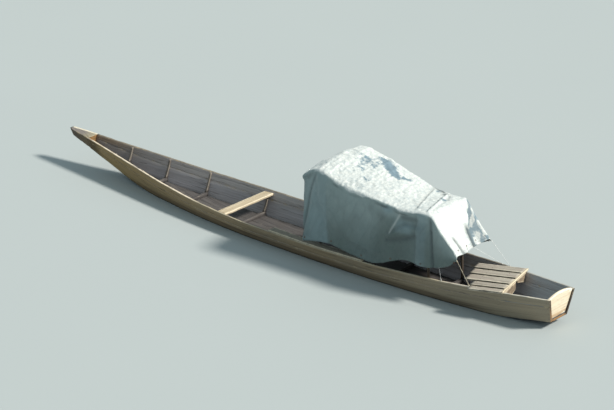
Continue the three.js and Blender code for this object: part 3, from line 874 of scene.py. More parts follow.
def place_piece(piece: Piece, body: str, nodes: Sequence[str] = ()) -> Piece:
    """Ties a piece to its body and the nodes that it stands for.

    Args:
        piece: The piece.
        body: Body that it rides on.
        nodes: Names of the nodes that it stands for.

    Returns:
        The piece.
    """
    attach(piece, body)
    if nodes:
        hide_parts(*nodes)
    LOG.info("%s: %d faces on %s", piece.name, len(piece.data.polygons), body)
    return piece


def rounded_rings(corners: Array, radius: float, cuts: Sequence[int]) -> tuple[Array, Array, Array]:
    """Rounds the four-cornered sections of a sawn piece.

    Args:
        corners: Array of sections, four corners each.
        radius: Distance from a corner at which its rounding starts.
        cuts: Points added on each of the four faces.

    Returns:
        The rings, and for each point of a ring how far it is on an edge (0 to 1) and which face it is on.
    """
    rings, edges, faces = [], [], []

    def part_way(start: Array, end: Array) -> Array:
        """Point on the way from a corner to the next where the rounding starts."""
        reach = np.maximum(np.linalg.norm(end - start, axis=1, keepdims=True), TINY)
        return start + (end - start) * np.minimum(radius / reach, MOST_ROUNDED)

    for k in range(4):
        before, corner, after = corners[:, k - 1], corners[:, k], corners[:, (k + 1) % 4]
        start, end, finish = part_way(corner, before), part_way(corner, after), part_way(after, corner)
        for t in (0.0, 0.5, 1.0):
            rings.append((1 - t) ** 2 * start + 2 * t * (1 - t) * corner + t * t * end)
            edges.append(1.0 if t == 0.5 else 0.75)
            faces.append(k - 0.5 + t)
        for i in range(cuts[k]):
            rings.append(end + (finish - end) * (i + 1) / (cuts[k] + 1))
            edges.append(0.0)
            faces.append(k + 0.5)
    return np.stack(rings, axis=1), np.array(edges), np.array(faces)


def mesh_from_rings(name: str, rings: Array) -> Mesh:
    """Closed mesh through rings of points, facing out.

    Args:
        name: Name of the mesh.
        rings: Array of rings with the same number of points.

    Returns:
        The mesh.
    """
    count, around = rings.shape[:2]
    numbers = np.arange(count * around).reshape(count, around)
    beside = np.roll(numbers, -1, axis=1)
    walls = np.stack([numbers[:-1], beside[:-1], beside[1:], numbers[1:]], axis=-1).reshape(-1, 4)
    faces = [*walls.tolist(), numbers[0, ::-1].tolist(), numbers[-1].tolist()]
    mesh = bpy.data.meshes.new(name)
    mesh.from_pydata(rings.reshape(-1, 3).tolist(), [], faces)
    shape = bmesh.new()
    shape.from_mesh(mesh)
    bmesh.ops.recalc_face_normals(shape, faces=shape.faces)
    if shape.calc_volume(signed=True) < 0:
        bmesh.ops.reverse_faces(shape, faces=shape.faces)
    shape.to_mesh(mesh)
    shape.free()
    return mesh


def add_attribute(mesh: Mesh, name: str, values: Array) -> None:
    """Keeps a number or a vector for each point of a mesh."""
    vector = values.ndim == 2
    layer = mesh.attributes.new(name, "FLOAT_VECTOR" if vector else "FLOAT", "POINT")
    layer.data.foreach_set("vector" if vector else "value", values.astype(np.float32).ravel())


@dataclass
class Timber:
    """A sawn piece of wood, given by the four corners of its section at stations along it."""

    name: str
    corners: Array
    radius: float = 0.004
    cuts: tuple[int, int, int, int] = (3, 1, 3, 1)
    uneven: float = 0.0008
    chips: float = 0.0025
    chip_size: float = 0.05
    seed: int = 1
    broad_size: float = 0.09
    fine_size: float = 0.03
    edge_share: float = 0.75
    end_round: float = 0.4
    end_wear: float = 0.6
    grain_shift: float = 0.31

    def rings(self) -> tuple[Array, Array, Array]:
        """Rounded, uneven and chipped rings, with their edge and face numbers."""
        rings, edges, faces = rounded_rings(self.corners, self.radius, self.cuts)
        middle = np.broadcast_to(rings.mean(axis=1, keepdims=True), rings.shape).reshape(-1, 3)
        points = rings.reshape(-1, 3)
        shift, fine = shake(points, self.broad_size, self.seed), shake(points, self.fine_size, self.seed + 7)
        chip = np.clip(lattice_noise(points, self.chip_size, self.seed + 20) - 0.25, 0, 1)
        chip *= np.tile(edges, len(rings)) * self.chips / self.edge_share
        inward = middle - points
        inward /= np.maximum(np.linalg.norm(inward, axis=1, keepdims=True), TINY)
        moved = points + self.uneven * (shift + 0.5 * fine) + inward * chip[:, None]
        moved = moved.reshape(rings.shape)
        return np.concatenate([self._end_ring(moved[:1]), moved, self._end_ring(moved[-1:])]), edges, faces

    def _end_ring(self, ring: Array) -> Array:
        """Smaller ring on an end, which rounds the end's edge."""
        middle = ring.mean(axis=1, keepdims=True)
        reach = np.maximum(np.linalg.norm(ring - middle, axis=2, keepdims=True), TINY)
        return middle + (ring - middle) * (1 - np.minimum(self.radius / reach, self.end_round))

    def mesh(self) -> Mesh:
        """Closed mesh with the attributes that the wood finishes read."""
        rings, edges, faces = self.rings()
        mesh = mesh_from_rings(self.name, rings)
        along = lengths_along(rings.mean(axis=1))
        around = np.linalg.norm(np.diff(rings, axis=1, append=rings[:, :1]), axis=2)
        across = np.cumsum(around, axis=1) - around
        spread = np.broadcast_to(along[:, None], across.shape)
        grain = np.stack([spread, across, np.full(across.shape, self.grain_shift * self.seed)], axis=2)
        edge, end = np.tile(edges, (len(rings), 1)), np.zeros(across.shape)
        edge[[0, -1]], end[[0, -1]] = self.end_wear, 1.0
        add_attribute(mesh, "grain", grain.reshape(-1, 3))
        for label, values in (("edge", edge), ("end", end), ("face", np.tile(faces, (len(rings), 1)))):
            add_attribute(mesh, label, values.ravel())
        return mesh

    def place(self, material: Material, slot: str, node: str, body: str = HULL_BODY) -> None:
        """Builds the piece and puts it in its node's place."""
        place_piece(finish_object(self.mesh(), material), body, [node])


def stations(start: float, stop: float, step: float) -> Array:
    """Evenly spaced places from start to stop, at most a step apart."""
    count = max(2, int(math.ceil(abs(stop - start) / step)) + 1)
    return np.linspace(start, stop, count)


@dataclass
class Planking:
    """Side and bottom planks, the block that closes the bow and the transom."""

    finishes: Finishes
    step: float = 0.035
    side_length: float = 7.1
    seam_share: float = 0.68
    seam_gap: float = 0.0008
    middle_half: float = 0.098
    nib: float = 0.012
    nib_search_x: float = 1.5
    tip_top_x: float = 3.75
    tip_foot_x: float = 3.70
    transom_inset: float = 0.014
    transom_thick: float = 0.028
    transom_arch: float = 0.040
    transom_below: float = 0.004
    transom_gap: float = 0.0008
    lower_seed: int = 31
    upper_seed: int = 41
    bottom_seed: int = 51
    bow_seed: int = 61
    transom_seed: int = 71

    def build(self) -> None:
        """Builds and places every plank."""
        for side in Side:
            self._side_plank(side, "lower", 0.0, self.seam_share - self.seam_gap, self.lower_seed)
            self._side_plank(side, "upper", self.seam_share + self.seam_gap, 1.0, self.upper_seed)
        self._bottom()
        self._bow_block()
        self._transom()

    def _side_plank(self, side: Side, level: str, low: float, high: float, seed: int) -> None:
        """Builds one side plank between two shares of the side's height.

        Args:
            side: Side of the boat.
            level: The word lower or upper.
            low: Share at its lower edge.
            high: Share at its upper edge.
            seed: Seed of its unevenness, before the side's sign is added.
        """
        sections = []
        rake = Hull.stern_top_x - Hull.stern_foot_x
        for t in stations(0, 1, self.step / self.side_length):
            corners = []
            for share, depth in ((low, 0.0), (high, 0.0), (high, Hull.side_thick), (low, Hull.side_thick)):
                aft = Hull.stern_foot_x + rake * share
                x = aft + (Hull.bow_block_x - Hull.touch - aft) * t
                half, z = Hull.side(x, share)
                corners.append((x, side.value * (half - depth), z))
            sections.append(corners)
        name = f"{level}_side_{side.label}"
        chips = 0.005 if level == "upper" else 0.002
        timber = Timber(f"plank_{name}", np.array(sections), radius=0.005, cuts=(6, 2, 4, 1), uneven=0.0012,
                        chips=chips, chip_size=0.07, seed=seed + side.value)
        mesh = timber.mesh()
        below = [Hull.sheer(v.co.x) - v.co.z for v in mesh.vertices]
        add_attribute(mesh, "below", np.array(below))
        place_piece(finish_object(mesh, self.finishes.side), HULL_BODY, [name])

    def _bottom_edge(self, x: float) -> float:
        """Half width of the room between the side planks at their foot."""
        return Hull.chine(x) - Hull.side_thick - Hull.side_touch

    def _bottom(self) -> None:
        """Builds the three bottom planks."""
        stop = self.nib_search_x
        while self._bottom_edge(stop) > self.middle_half + self.nib:
            stop += 0.001
        half_gap = Hull.touch / 2

        def section(x: float, y_from: float, y_to: float) -> list[Point]:
            """Corners of a bottom plank at one station."""
            low, high = Hull.keel(x), Hull.keel(x) + Hull.bottom_thick
            return [(x, y_from, low), (x, y_to, low), (x, y_to, high), (x, y_from, high)]

        aft = stations(Hull.stern_foot_x, stop + Hull.touch, self.step)
        fore = stations(stop + 2 * Hull.touch, Hull.bow_block_x - Hull.touch, self.step)
        outer = stations(Hull.stern_foot_x, stop, self.step)
        middle = [section(x, -self.middle_half + half_gap, self.middle_half - half_gap) for x in aft]
        middle += [section(x, -self._bottom_edge(x), self._bottom_edge(x)) for x in fore]
        edge = self.middle_half + half_gap
        planks = {
            "middle": middle,
            "port": [section(x, edge, self._bottom_edge(x)) for x in outer],
            "starboard": [section(x, -self._bottom_edge(x), -edge) for x in outer],
        }
        for seed, (name, sections) in enumerate(planks.items(), self.bottom_seed):
            timber = Timber(f"plank_bottom_{name}", np.array(sections), cuts=(3, 1, 5, 1), seed=seed)
            timber.place(self.finishes.bottom, "weathered_wood", f"bottom_plank_{name}")

    def _bow_block(self) -> None:
        """Builds the raked block at the bow."""
        start = Hull.bow_block_x
        sections = []
        for t in stations(0, 1, 0.06):
            top, foot = start + (self.tip_top_x - start) * t, start + (self.tip_foot_x - start) * t
            half, head, low_half, low = Hull.beam(top), Hull.sheer(top), Hull.chine(foot), Hull.keel(foot)
            port = [(foot, low_half, low), (top, half, head)]
            sections.append([*port, *((x, -y, z) for x, y, z in port[::-1])])
        timber = Timber("bow_end_block", np.array(sections), radius=0.009, cuts=(4, 4, 4, 2), uneven=0.0018,
                        chips=0.008, chip_size=0.06, seed=self.bow_seed)
        timber.place(self.finishes.bow, "bare_wood", "bow_block")

    def _transom(self) -> None:
        """Builds the arched transom."""
        foot_z = Hull.keel(Hull.stern_foot_x) + Hull.bottom_thick + Hull.touch
        side_z = Hull.sheer(Hull.stern_top_x) - self.transom_below
        rake = (Hull.stern_top_x - Hull.stern_foot_x) / (side_z - foot_z)
        sections = []
        for across in stations(-1, 1, 0.06):
            top_z = side_z + self.transom_arch * (1 - across * across)
            corners = []
            for share, forward in ((0, 0.0), (1, 0.0), (1, self.transom_thick), (0, self.transom_thick)):
                z = foot_z + (top_z - foot_z) * share
                x = Hull.stern_foot_x + self.transom_inset + forward + rake * (z - foot_z)
                level = foot_z + (side_z - foot_z) * share
                corners.append((x, across * (Hull.inside(x, level) - self.transom_gap), z))
            sections.append(corners)
        timber = Timber("transom_board", np.array(sections), radius=0.006, cuts=(6, 2, 6, 1), chips=0.004,
                        seed=self.transom_seed)
        timber.place(self.finishes.transom, "bare_wood", "transom")


class Repeats:
    """Geometry node trees that repeat a small shape, or run a cord along a path."""

    def __init__(self) -> None:
        """Builds each tree once."""
        self.heads = self._heads()
        self.rings = self._rings()
        self.stitches = self._stitches()
        self.cord = self._cord()

    @staticmethod
    def _start(name: str, sizes: dict[str, float | int]) -> tuple[Bench, Sequence[Socket]]:
        """Starts a tree with a geometry, its sizes and a material as inputs.

        Args:
            name: Name of the tree.
            sizes: Number inputs and their usual values. Whole numbers make integer inputs.

        Returns:
            Its bench and the sockets that come in.
        """
        tree = bpy.data.node_groups.new(name, "GeometryNodeTree")
        new = tree.interface.new_socket
        new("Geometry", in_out="INPUT", socket_type="NodeSocketGeometry")
        for label, value in sizes.items():
            kind = "NodeSocketInt" if isinstance(value, int) else "NodeSocketFloat"
            new(label, in_out="INPUT", socket_type=kind).default_value = value
        new("Material", in_out="INPUT", socket_type="NodeSocketMaterial")
        new("Geometry", in_out="OUTPUT", socket_type="NodeSocketGeometry")
        return Bench(tree), tree.nodes.new("NodeGroupInput").outputs

    @staticmethod
    def _end(bench: Bench, given: Sequence[Socket], shape: Socket) -> Tree:
        """Realizes the instances, sets the material and closes the tree."""
        real = bench.add("GeometryNodeRealizeInstances", {0: shape}).outputs[0]
        smooth = bench.add("GeometryNodeSetShadeSmooth", {"Geometry": real}).outputs[0]
        dress = {"Geometry": smooth, "Material": given["Material"]}
        return bench.close({0: bench.add("GeometryNodeSetMaterial", dress).outputs[0]})

    @staticmethod
    def _circle(bench: Bench, resolution: int | Socket, radius: Socket) -> Socket:
        """Closed round curve."""
        inputs = {"Resolution": resolution, "Radius": radius}
        return bench.add("GeometryNodeCurvePrimitiveCircle", inputs).outputs[0]

    @staticmethod
    def _on_points(bench: Bench, points: Socket, shape: Socket, **inputs: Socket) -> Socket:
        """Copies of a shape, stood up on the surface by the points' facing unless a rotation is given.

        Args:
            bench: Bench of the tree.
            points: Points to put it on.
            shape: The shape.
            inputs: Scale or rotation of the copies.

        Returns:
            The copies.
        """
        if "Rotation" not in inputs:
            name, kind = {"Name": "facing"}, "FLOAT_VECTOR"
            facing = bench.add("GeometryNodeInputNamedAttribute", name, data_type=kind).outputs[0]
            turned = bench.add("FunctionNodeAlignRotationToVector", {"Vector": facing}, axis="Z")
            inputs["Rotation"] = turned.outputs[0]
        inputs = {"Points": points, "Instance": shape, **inputs}
        return bench.add("GeometryNodeInstanceOnPoints", inputs).outputs[0]

    @classmethod
    def _heads(cls) -> Tree:
        """Low nail heads on points, of slightly different sizes."""
        sizes = {"Radius": 0.0045, "Height": 0.0016, "Unlike": 0.2, "Seed": 5}
        bench, given = cls._start("Nail heads", sizes)
        cone = {"Vertices": 9, "Side Segments": 1, "Radius Bottom": given["Radius"], "Depth": given["Height"]}
        cone["Radius Top"] = bench.times(given["Radius"], 0.6)
        head = bench.add("GeometryNodeMeshCone", cone).outputs[0]
        unlike = given["Unlike"]
        limits = {2: bench.minus(1.0, unlike), 3: bench.plus(1.0, unlike), "Seed": given["Seed"]}
        scale = bench.add("FunctionNodeRandomValue", limits, data_type="FLOAT").outputs[1]
        return cls._end(bench, given, cls._on_points(bench, given[0], head, Scale=scale))

    @classmethod
    def _rings(cls) -> Tree:
        """Eyelets on points."""
        bench, given = cls._start("Eyelets", {"Radius": 0.0085, "Wire": 0.0022})
        wire = {
            "Curve": cls._circle(bench, 16, given["Radius"]),
            "Profile Curve": cls._circle(bench, 6, given["Wire"]),
        }
        ring = bench.add("GeometryNodeCurveToMesh", wire).outputs[0]
        return cls._end(bench, given, cls._on_points(bench, given[0], ring))

    @classmethod
    def _stitches(cls) -> Tree:
        """Short thick threads laid end to end along paths, with gaps between them."""
        bench, given = cls._start("Stitches", {"Spacing": 0.018, "Length": 0.011, "Radius": 0.0011})
        curve = bench.add("GeometryNodeMeshToCurve", {0: given[0]}).outputs[0]
        along = {"Curve": curve, "Length": given["Spacing"]}
        along = bench.add("GeometryNodeCurveToPoints", along, mode="LENGTH").outputs
        ball = bench.add("GeometryNodeMeshUVSphere", {"Segments": 6, "Rings": 4, "Radius": 1.0}).outputs[0]
        thread = {0: given["Radius"], 1: given["Radius"], 2: bench.times(given["Length"], 0.5)}
        scale = bench.add("ShaderNodeCombineXYZ", thread).outputs[0]
        laid = cls._on_points(bench, along["Points"], ball, Scale=scale, Rotation=along["Rotation"])
        return cls._end(bench, given, laid)

    @classmethod
    def _cord(cls) -> Tree:
        """Twisted cord of round strands along paths."""
        sizes = {"Strand": 0.0009, "Lay": 0.018, "Step": 0.006, "Strands": 3, "Sides": 5}
        bench, given = cls._start("Twisted cord", sizes)
        curve = bench.add("GeometryNodeMeshToCurve", {0: given[0]}).outputs[0]
        even = {"Curve": curve, "Length": given["Step"]}
        even = bench.add("GeometryNodeResampleCurve", even, mode="LENGTH").outputs[0]
        run = bench.add("GeometryNodeSplineParameter").outputs["Length"]
        turn = bench.times(bench.math("DIVIDE", run, given["Lay"]), TURN)
        twisted = bench.add("GeometryNodeSetCurveTilt", {"Curve": even, "Tilt": turn}).outputs[0]
        bundle = {"Vertices": given["Strands"], "Radius": bench.times(given["Strand"], 1.15)}
        places = bench.add("GeometryNodeMeshCircle", bundle).outputs[0]
        strand = {"Points": places, "Instance": cls._circle(bench, given["Sides"], given["Strand"])}
        strands = bench.add("GeometryNodeInstanceOnPoints", strand).outputs[0]
        profile = bench.add("GeometryNodeRealizeInstances", {0: strands}).outputs[0]
        rope = {"Curve": twisted, "Profile Curve": profile, "Fill Caps": True}
        return cls._end(bench, given, bench.add("GeometryNodeCurveToMesh", rope).outputs[0])

    @staticmethod
    def run(tree: Tree, mesh: Mesh, material: Material, sizes: dict[str, float | int] | None = None) -> Piece:
        """Runs a tree on points or paths and leaves a plain mesh.

        Args:
            tree: The tree.
            mesh: Points or paths, named as the piece is.
            material: Material of what the tree makes.
            sizes: Inputs that differ from the tree's usual ones.

        Returns:
            The piece.
        """
        piece = new_piece(mesh)
        modifier = piece.modifiers.new(tree.name, "NODES")
        modifier.node_group = tree
        sockets = {item.name: item.identifier for item in tree.interface.items_tree if item.in_out == "INPUT"}
        for label, value in (sizes or {}).items():
            modifier[sockets[label]] = value
        modifier[sockets["Material"]] = material
        graph = bpy.context.evaluated_depsgraph_get()
        made = bpy.data.meshes.new_from_object(piece.evaluated_get(graph), depsgraph=graph)
        piece.modifiers.remove(modifier)
        piece.data = made
        made.name = piece.name
        return piece


def point_mesh(name: str, points: Sequence[Sequence[float]], facing: Sequence[Sequence[float]]) -> Mesh:
    """Mesh of loose points, each with the way it faces."""
    mesh = bpy.data.meshes.new(name)
    mesh.from_pydata([tuple(point) for point in points], [], [])
    add_attribute(mesh, "facing", np.array(facing, float))
    return mesh


def path_mesh(name: str, paths: Iterable[Array]) -> Mesh:
    """Mesh of open paths of points.

    Args:
        name: Name of the mesh.
        paths: Points of each path.

    Returns:
        The mesh.
    """
    points: list[tuple[float, ...]] = []
    edges: list[tuple[int, int]] = []
    for path in paths:
        start = len(points)
        points += [tuple(point) for point in path]
        edges += [(start + i, start + i + 1) for i in range(len(path) - 1)]
    mesh = bpy.data.meshes.new(name)
    mesh.from_pydata(points, edges, [])
    return mesh


@dataclass(frozen=True)
class FrameStation:
    """Place of a floor timber, and of the ribs on it where there are any."""

    name: str
    x: float
    ribs: bool = False
    below: float = 0.0


@dataclass
class Framing:
    """Floor timbers, ribs, the seat, the worn board on the gunwale and the knees of the stern."""

    finishes: Finishes
    stations: tuple[FrameStation, ...] = (
        FrameStation("bow", 2.85, True, 0.010),
        FrameStation("fore", 2.31, True, 0.010),
        FrameStation("waist", 1.725, True, 0.010),
        FrameStation("thwart", 0.87, True, 0.049),
        FrameStation("shelter_fore", -0.62),
        FrameStation("shelter_mid", -1.40),
        FrameStation("shelter_aft", -2.15),
    )
    floor_wide: float = 0.042
    floor_tall: float = 0.040
    rib_wide: float = 0.026
    rib_head: float = 0.018
    rib_foot: float = 0.036
    seat_x: float = 0.87
    seat_wide: float = 0.130
    seat_thick: float = 0.028
    seat_below: float = 0.020
    knee_thick: float = 0.026
    knee_behind: float = 0.006
    knee_below: float = 0.003
    knee_round: float = 0.016
    knees: tuple[tuple[Side, float, float, float], ...] = (
        (Side.PORT, 0.335, 0.170, 0.090),
        (Side.STARBOARD, 0.255, 0.108, 0.032),
    )
    board_fore: float = 0.06
    board_aft: float = -1.32
    board_wide: float = 0.112
    board_thick: float = 0.020
    end_gap: float = 0.001
    rib_gap: float = 0.0006
    knee_gap: float = 0.0004
    first_seed: int = 81
    seat_seed: int = 95
    knee_seed: int = 98
    board_seed: int = 104

    def build(self) -> None:
        """Builds and places every piece."""
        for seed, station in enumerate(self.stations, self.first_seed):
            self._floor(station, seed)
            if station.ribs:
                for side in Side:
                    self._rib(station, side, seed + 10 * (3 + side.value))
        self._seat()
        for knee in self.knees:
            self._knee(*knee)
        self._board()

    def _foot(self, x: float) -> float:
        """Height of a floor timber's underside."""
        half = self.floor_wide / 2
        return max(Hull.keel(x - half), Hull.keel(x + half)) + Hull.bottom_thick + Hull.touch

    def floor_top(self, x: float) -> float:
        """Height of a floor timber's top."""
        return self._foot(x) + self.floor_tall

    def _cross_piece(self, x: float, wide: float, low: float, tall: float) -> Array:
        """Sections of a straight piece from side plank to side plank, its ends cut to the flare.

        Args:
            x: Place of its middle along the boat.
            wide: Its size along the boat.
            low: Height of its underside.
            tall: Its size in height.

        Returns:
            The sections.
        """
        edges = (x - wide / 2, x + wide / 2)
        sections = []
        for across in stations(-1, 1, 0.08):
            aft, fore = ((at, across * (Hull.inside(at, low) - self.end_gap)) for at in edges)
            sections.append([(*aft, low), (*fore, low), (*fore, low + tall), (*aft, low + tall)])
        return np.array(sections)

    def _floor(self, station: FrameStation, seed: int) -> None:
        """Builds one floor timber."""
        sections = self._cross_piece(station.x, self.floor_wide, self._foot(station.x), self.floor_tall)
        timber = Timber(f"floor_timber_{station.name}", sections, radius=0.006, uneven=0.0014, chips=0.005,
                        seed=seed)
        timber.place(self.finishes.bottom, "weathered_wood", f"floor_{station.name}")

    def _rib(self, station: FrameStation, side: Side, seed: int) -> None:
        """Builds one rib.

        Args:
            station: Where it stands.
            side: Side of the boat.
            seed: Seed of its unevenness.
        """
        edges = (station.x - self.rib_wide / 2, station.x + self.rib_wide / 2)
        foot = self.floor_top(station.x) + Hull.touch
        head = Hull.sheer(station.x) - station.below
        sections = []
        for share in stations(0, 1, 0.1):
            z = foot + (head - foot) * share
            depth = self.rib_head + (self.rib_foot - self.rib_head) * (1 - share) ** 2
            walls = [Hull.inside(x, z) for x in edges]
            outer = [(x, side.value * (wall - self.rib_gap), z) for x, wall in zip(edges, walls)]
            inner = [(x, side.value * (wall - depth), z) for x, wall in zip(edges, walls)]
            sections.append([*outer, *inner[::-1]])
        name = f"rib_{station.name}_{side.label}"
        timber = Timber(f"timber_{name}", np.array(sections), radius=0.006, uneven=0.0018, chips=0.006,
                        seed=seed)
        timber.place(self.finishes.frame, "weathered_wood", name)

    def _seat(self) -> None:
        """Builds the seat board."""
        low = Hull.sheer(self.seat_x) - self.seat_below - self.seat_thick
        sections = self._cross_piece(self.seat_x, self.seat_wide, low, self.seat_thick)
        timber = Timber("seat_board", sections, radius=0.006, cuts=(5, 1, 5, 1), uneven=0.0014, chips=0.006,
                        seed=self.seat_seed)
        timber.place(self.finishes.pale, "bare_wood", "thwart")

    def _knee_place(self, along: float, forward: float) -> tuple[float, float]:
        """Place in the boat of a point given on the axes of the platform's end beam."""
        yaw = math.radians(Platform.yaw)
        return (Platform.corner_x + forward * math.cos(yaw) - along * math.sin(yaw),
                Platform.corner_y + forward * math.sin(yaw) + along * math.cos(yaw))

    def _knee_wall(self, side: Side, forward: float, z: float) -> float:
        """Where a line beside the end beam meets the side plank at a height, measured along the beam.

        Args:
            side: Side of the boat.
            forward: How far the line is forward of the beam's aft face.
            z: The height.

        Returns:
            The distance along the beam.
        """
        yaw = math.radians(Platform.yaw)
        start = Platform.corner_y + forward * math.sin(yaw)
        along = 0.0
        for _ in range(12):
            wall = Hull.inside(self._knee_place(along, forward)[0], z) - self.knee_gap
            along = (side.value * wall - start) / math.cos(yaw)
        return along

    def _knee(self, side: Side, reach: float, drop: float, inner: float) -> None:
        """Builds one knee under the end beam.

        Args:
            side: Side of the boat that it stands on.
            reach: How far it comes in from the side plank.
            drop: Its depth at the side plank.
            inner: Its depth at its other end.
        """
        faces = []
        for forward in (self.knee_behind, self.knee_behind + self.knee_thick):
            start = self._knee_wall(side, forward, Hull.sheer(Platform.corner_x))
            head = Hull.sheer(self._knee_place(start, forward)[0]) - self.knee_below
            end = self._knee_wall(side, forward, head) - side.value * reach
            rows = []
            for share in [*stations(0, 1 - self.knee_round / reach, 0.07), 1.0]:
                depth = drop + (inner - drop) * share - (self.knee_round if share == 1.0 else 0.0)
                row = []
                for down in (depth, 0.0):
                    along = self._knee_wall(side, forward, head - down) * (1 - share) + end * share
                    x, y = self._knee_place(along, forward)
                    row.append((x, y, Hull.sheer(x) - self.knee_below - down))
                rows.append(row)
            faces.append(rows)
        sections = np.array([[*aft, *fore[::-1]] for aft, fore in zip(*faces)])
        timber = Timber(f"knee_{side.label}", sections, radius=0.005, cuts=(4, 1, 4, 1), chips=0.004,
                        seed=self.knee_seed + side.value)
        timber.place(self.finishes.knee, "bare_wood", f"stern_knee_{side.label}")

    def _board(self) -> None:
        """Builds the worn board along the port gunwale."""
        sections = []
        for x in stations(self.board_aft, self.board_fore, 0.03):
            outer, low = Hull.beam(x), Hull.sheer(x) + Hull.touch
            inner, high = outer - self.board_wide, low + self.board_thick
            sections.append([(x, inner, low), (x, outer, low), (x, outer, high), (x, inner, high)])
        timber = Timber("gunwale_top_board", np.array(sections), radius=0.005, cuts=(4, 1, 4, 1),
                        uneven=0.0018, chips=0.008, chip_size=0.09, seed=self.board_seed)
        timber.place(self.finishes.board, "slat_wood", "gunwale_board")


@dataclass
class Platform:
    """Slatted platform that lies across the stern."""

    finishes: Finishes
    corner_x: float = -3.02
    corner_y: float = -0.345
    yaw: float = 15.5
    length: float = 0.60
    thick: float = 0.022
    slats: tuple[tuple[float, float, float], ...] = (
        (-0.030, 0.130, 0.600),
        (0.144, 0.124, 0.575),
        (0.312, 0.138, 0.555),
        (0.494, 0.099, 0.432),
        (0.637, 0.081, 0.415),
    )
    end_beam_wide: float = 0.024
    battens: tuple[tuple[str, float, float, float], ...] = (
        ("aft", 0.120, 0.040, 0.590),
        ("fore", 0.365, 0.030, 0.565),
    )
    batten_wide: float = 0.046
    batten_tall: float = 0.022
    slat_seed: int = 111
    batten_seed: int = 121

    def placement(self) -> Matrix:
        """Place of the platform's own axes in the boat."""
        yaw = math.radians(self.yaw)
        fall = Hull.sheer(self.corner_x) - Hull.sheer(self.corner_x + self.length)
        tilt = math.atan(fall / self.length)
        fore = self.corner_x + self.length * math.cos(yaw)
        start, wide, _ = self.slats[-1]
        span = np.linspace(self.corner_x - start * math.sin(yaw) - wide, fore, 21)
        seat = max(Hull.sheer(x) + math.tan(tilt) * (x - self.corner_x) for x in span) + Hull.touch
        turn = Matrix.Rotation(tilt, 4, "Y") @ Matrix.Rotation(yaw, 4, "Z")
        return Matrix.Translation((self.corner_x, self.corner_y, seat)) @ turn

    def build(self) -> None:
        """Builds and places the slats, the end beam and the battens."""
        place = np.array(self.placement())
        first = self.slats[0][0]
        width = self.slats[-1][0] + self.slats[-1][1] - first
        aft, pale, slat = self.end_beam_wide + Hull.touch, self.finishes.pale, self.finishes.slat
        beam_size = (self.end_beam_wide, width, self.thick)
        sticks = [("end_beam", (0, first, 0), beam_size, 1, pale, self.slat_seed)]
        for i, (start, wide, length) in enumerate(self.slats, 1):
            size = (length - aft, wide, self.thick)
            sticks.append((f"slat_{i}", (aft, start, 0), size, 0, slat, self.slat_seed + i))
        for i, (name, at, start, stop) in enumerate(self.battens):
            low = (at, start, -self.batten_tall - Hull.touch)
            size = (self.batten_wide, stop - start, self.batten_tall)
            sticks.append((f"batten_{name}", low, size, 1, slat, self.batten_seed + i))
        for stick in sticks:
            self._stick(place, *stick)

    def _stick(
        self, place: Array, name: str, low: Point, size: Point, along: int, material: Material, seed: int
    ) -> None:
        """Builds one straight piece of the platform.

        Args:
            place: Matrix of the platform.
            name: Its name after the word platform.
            low: Its lowest corner on the platform's axes.
            size: Its size on them.
            along: Number of the axis that its grain follows.
            material: Its finish.
            seed: Seed of its unevenness.
        """
        across = 1 - along
        sections = []
        for t in stations(0, 1, 0.03 / size[along]):
            section = []
            for share, level in ((0, 0), (1, 0), (1, 1), (0, 1)):
                point = np.array([0.0, 0.0, low[2] + size[2] * level, 1.0])
                point[along] = low[along] + size[along] * t
                point[across] = low[across] + size[across] * share
                section.append((place @ point)[:3])
            sections.append(section)
        timber = Timber(f"deck_{name}", np.array(sections), radius=0.0045, cuts=(4, 1, 4, 1), uneven=0.0012,
                        chips=0.005, chip_size=0.04, seed=seed)
        timber.place(material, "slat_wood", f"platform_{name}", PLATFORM_BODY)


def ring_centres(node: str, axis: int, gap: float = 0.008) -> Array:
    """Centre line of a pole of the frame.

    Args:
        node: Name of the pole's node.
        axis: Axis that it runs along.
        gap: Least distance between two rings of its points.

    Returns:
        Centres of its rings, in order.
    """
    points = np.array([v.co for v in bpy.data.objects[node].data.vertices])
    points = np.unique(np.round(points, 5), axis=0)
    points = points[np.argsort(points[:, axis])]
    breaks = np.where(np.diff(points[:, axis]) > gap)[0] + 1
    return np.array([group.mean(axis=0) for group in np.split(points, breaks)])


def smooth_path(points: Array, step: float) -> Array:
    """Evenly spaced points along a line of points."""
    lengths = lengths_along(points)
    places = stations(0, lengths[-1], step)
    return np.stack([np.interp(places, lengths, points[:, axis]) for axis in range(3)], axis=1)


def pole_rings(path: Array, radius: Array, around: int) -> Array:
    """Rings of a round pole.

    Args:
        path: Points of its centre line.
        radius: Radius at each.
        around: Points in a ring.

    Returns:
        The rings.
    """
    tangent = np.gradient(path, axis=0)
    tangent /= np.linalg.norm(tangent, axis=1, keepdims=True)
    guide = np.array([0.0, 0.0, 1.0]) if abs(tangent[0, 2]) < 0.8 else np.array([1.0, 0.0, 0.0])
    across = np.cross(tangent, guide)
    across /= np.linalg.norm(across, axis=1, keepdims=True)
    up = np.cross(across, tangent)
    angles = np.linspace(0, TURN, around, endpoint=False)[None, :, None]
    spokes = np.cos(angles) * across[:, None] + np.sin(angles) * up[:, None]
    return path[:, None] + spokes * radius.reshape(-1, 1, 1)


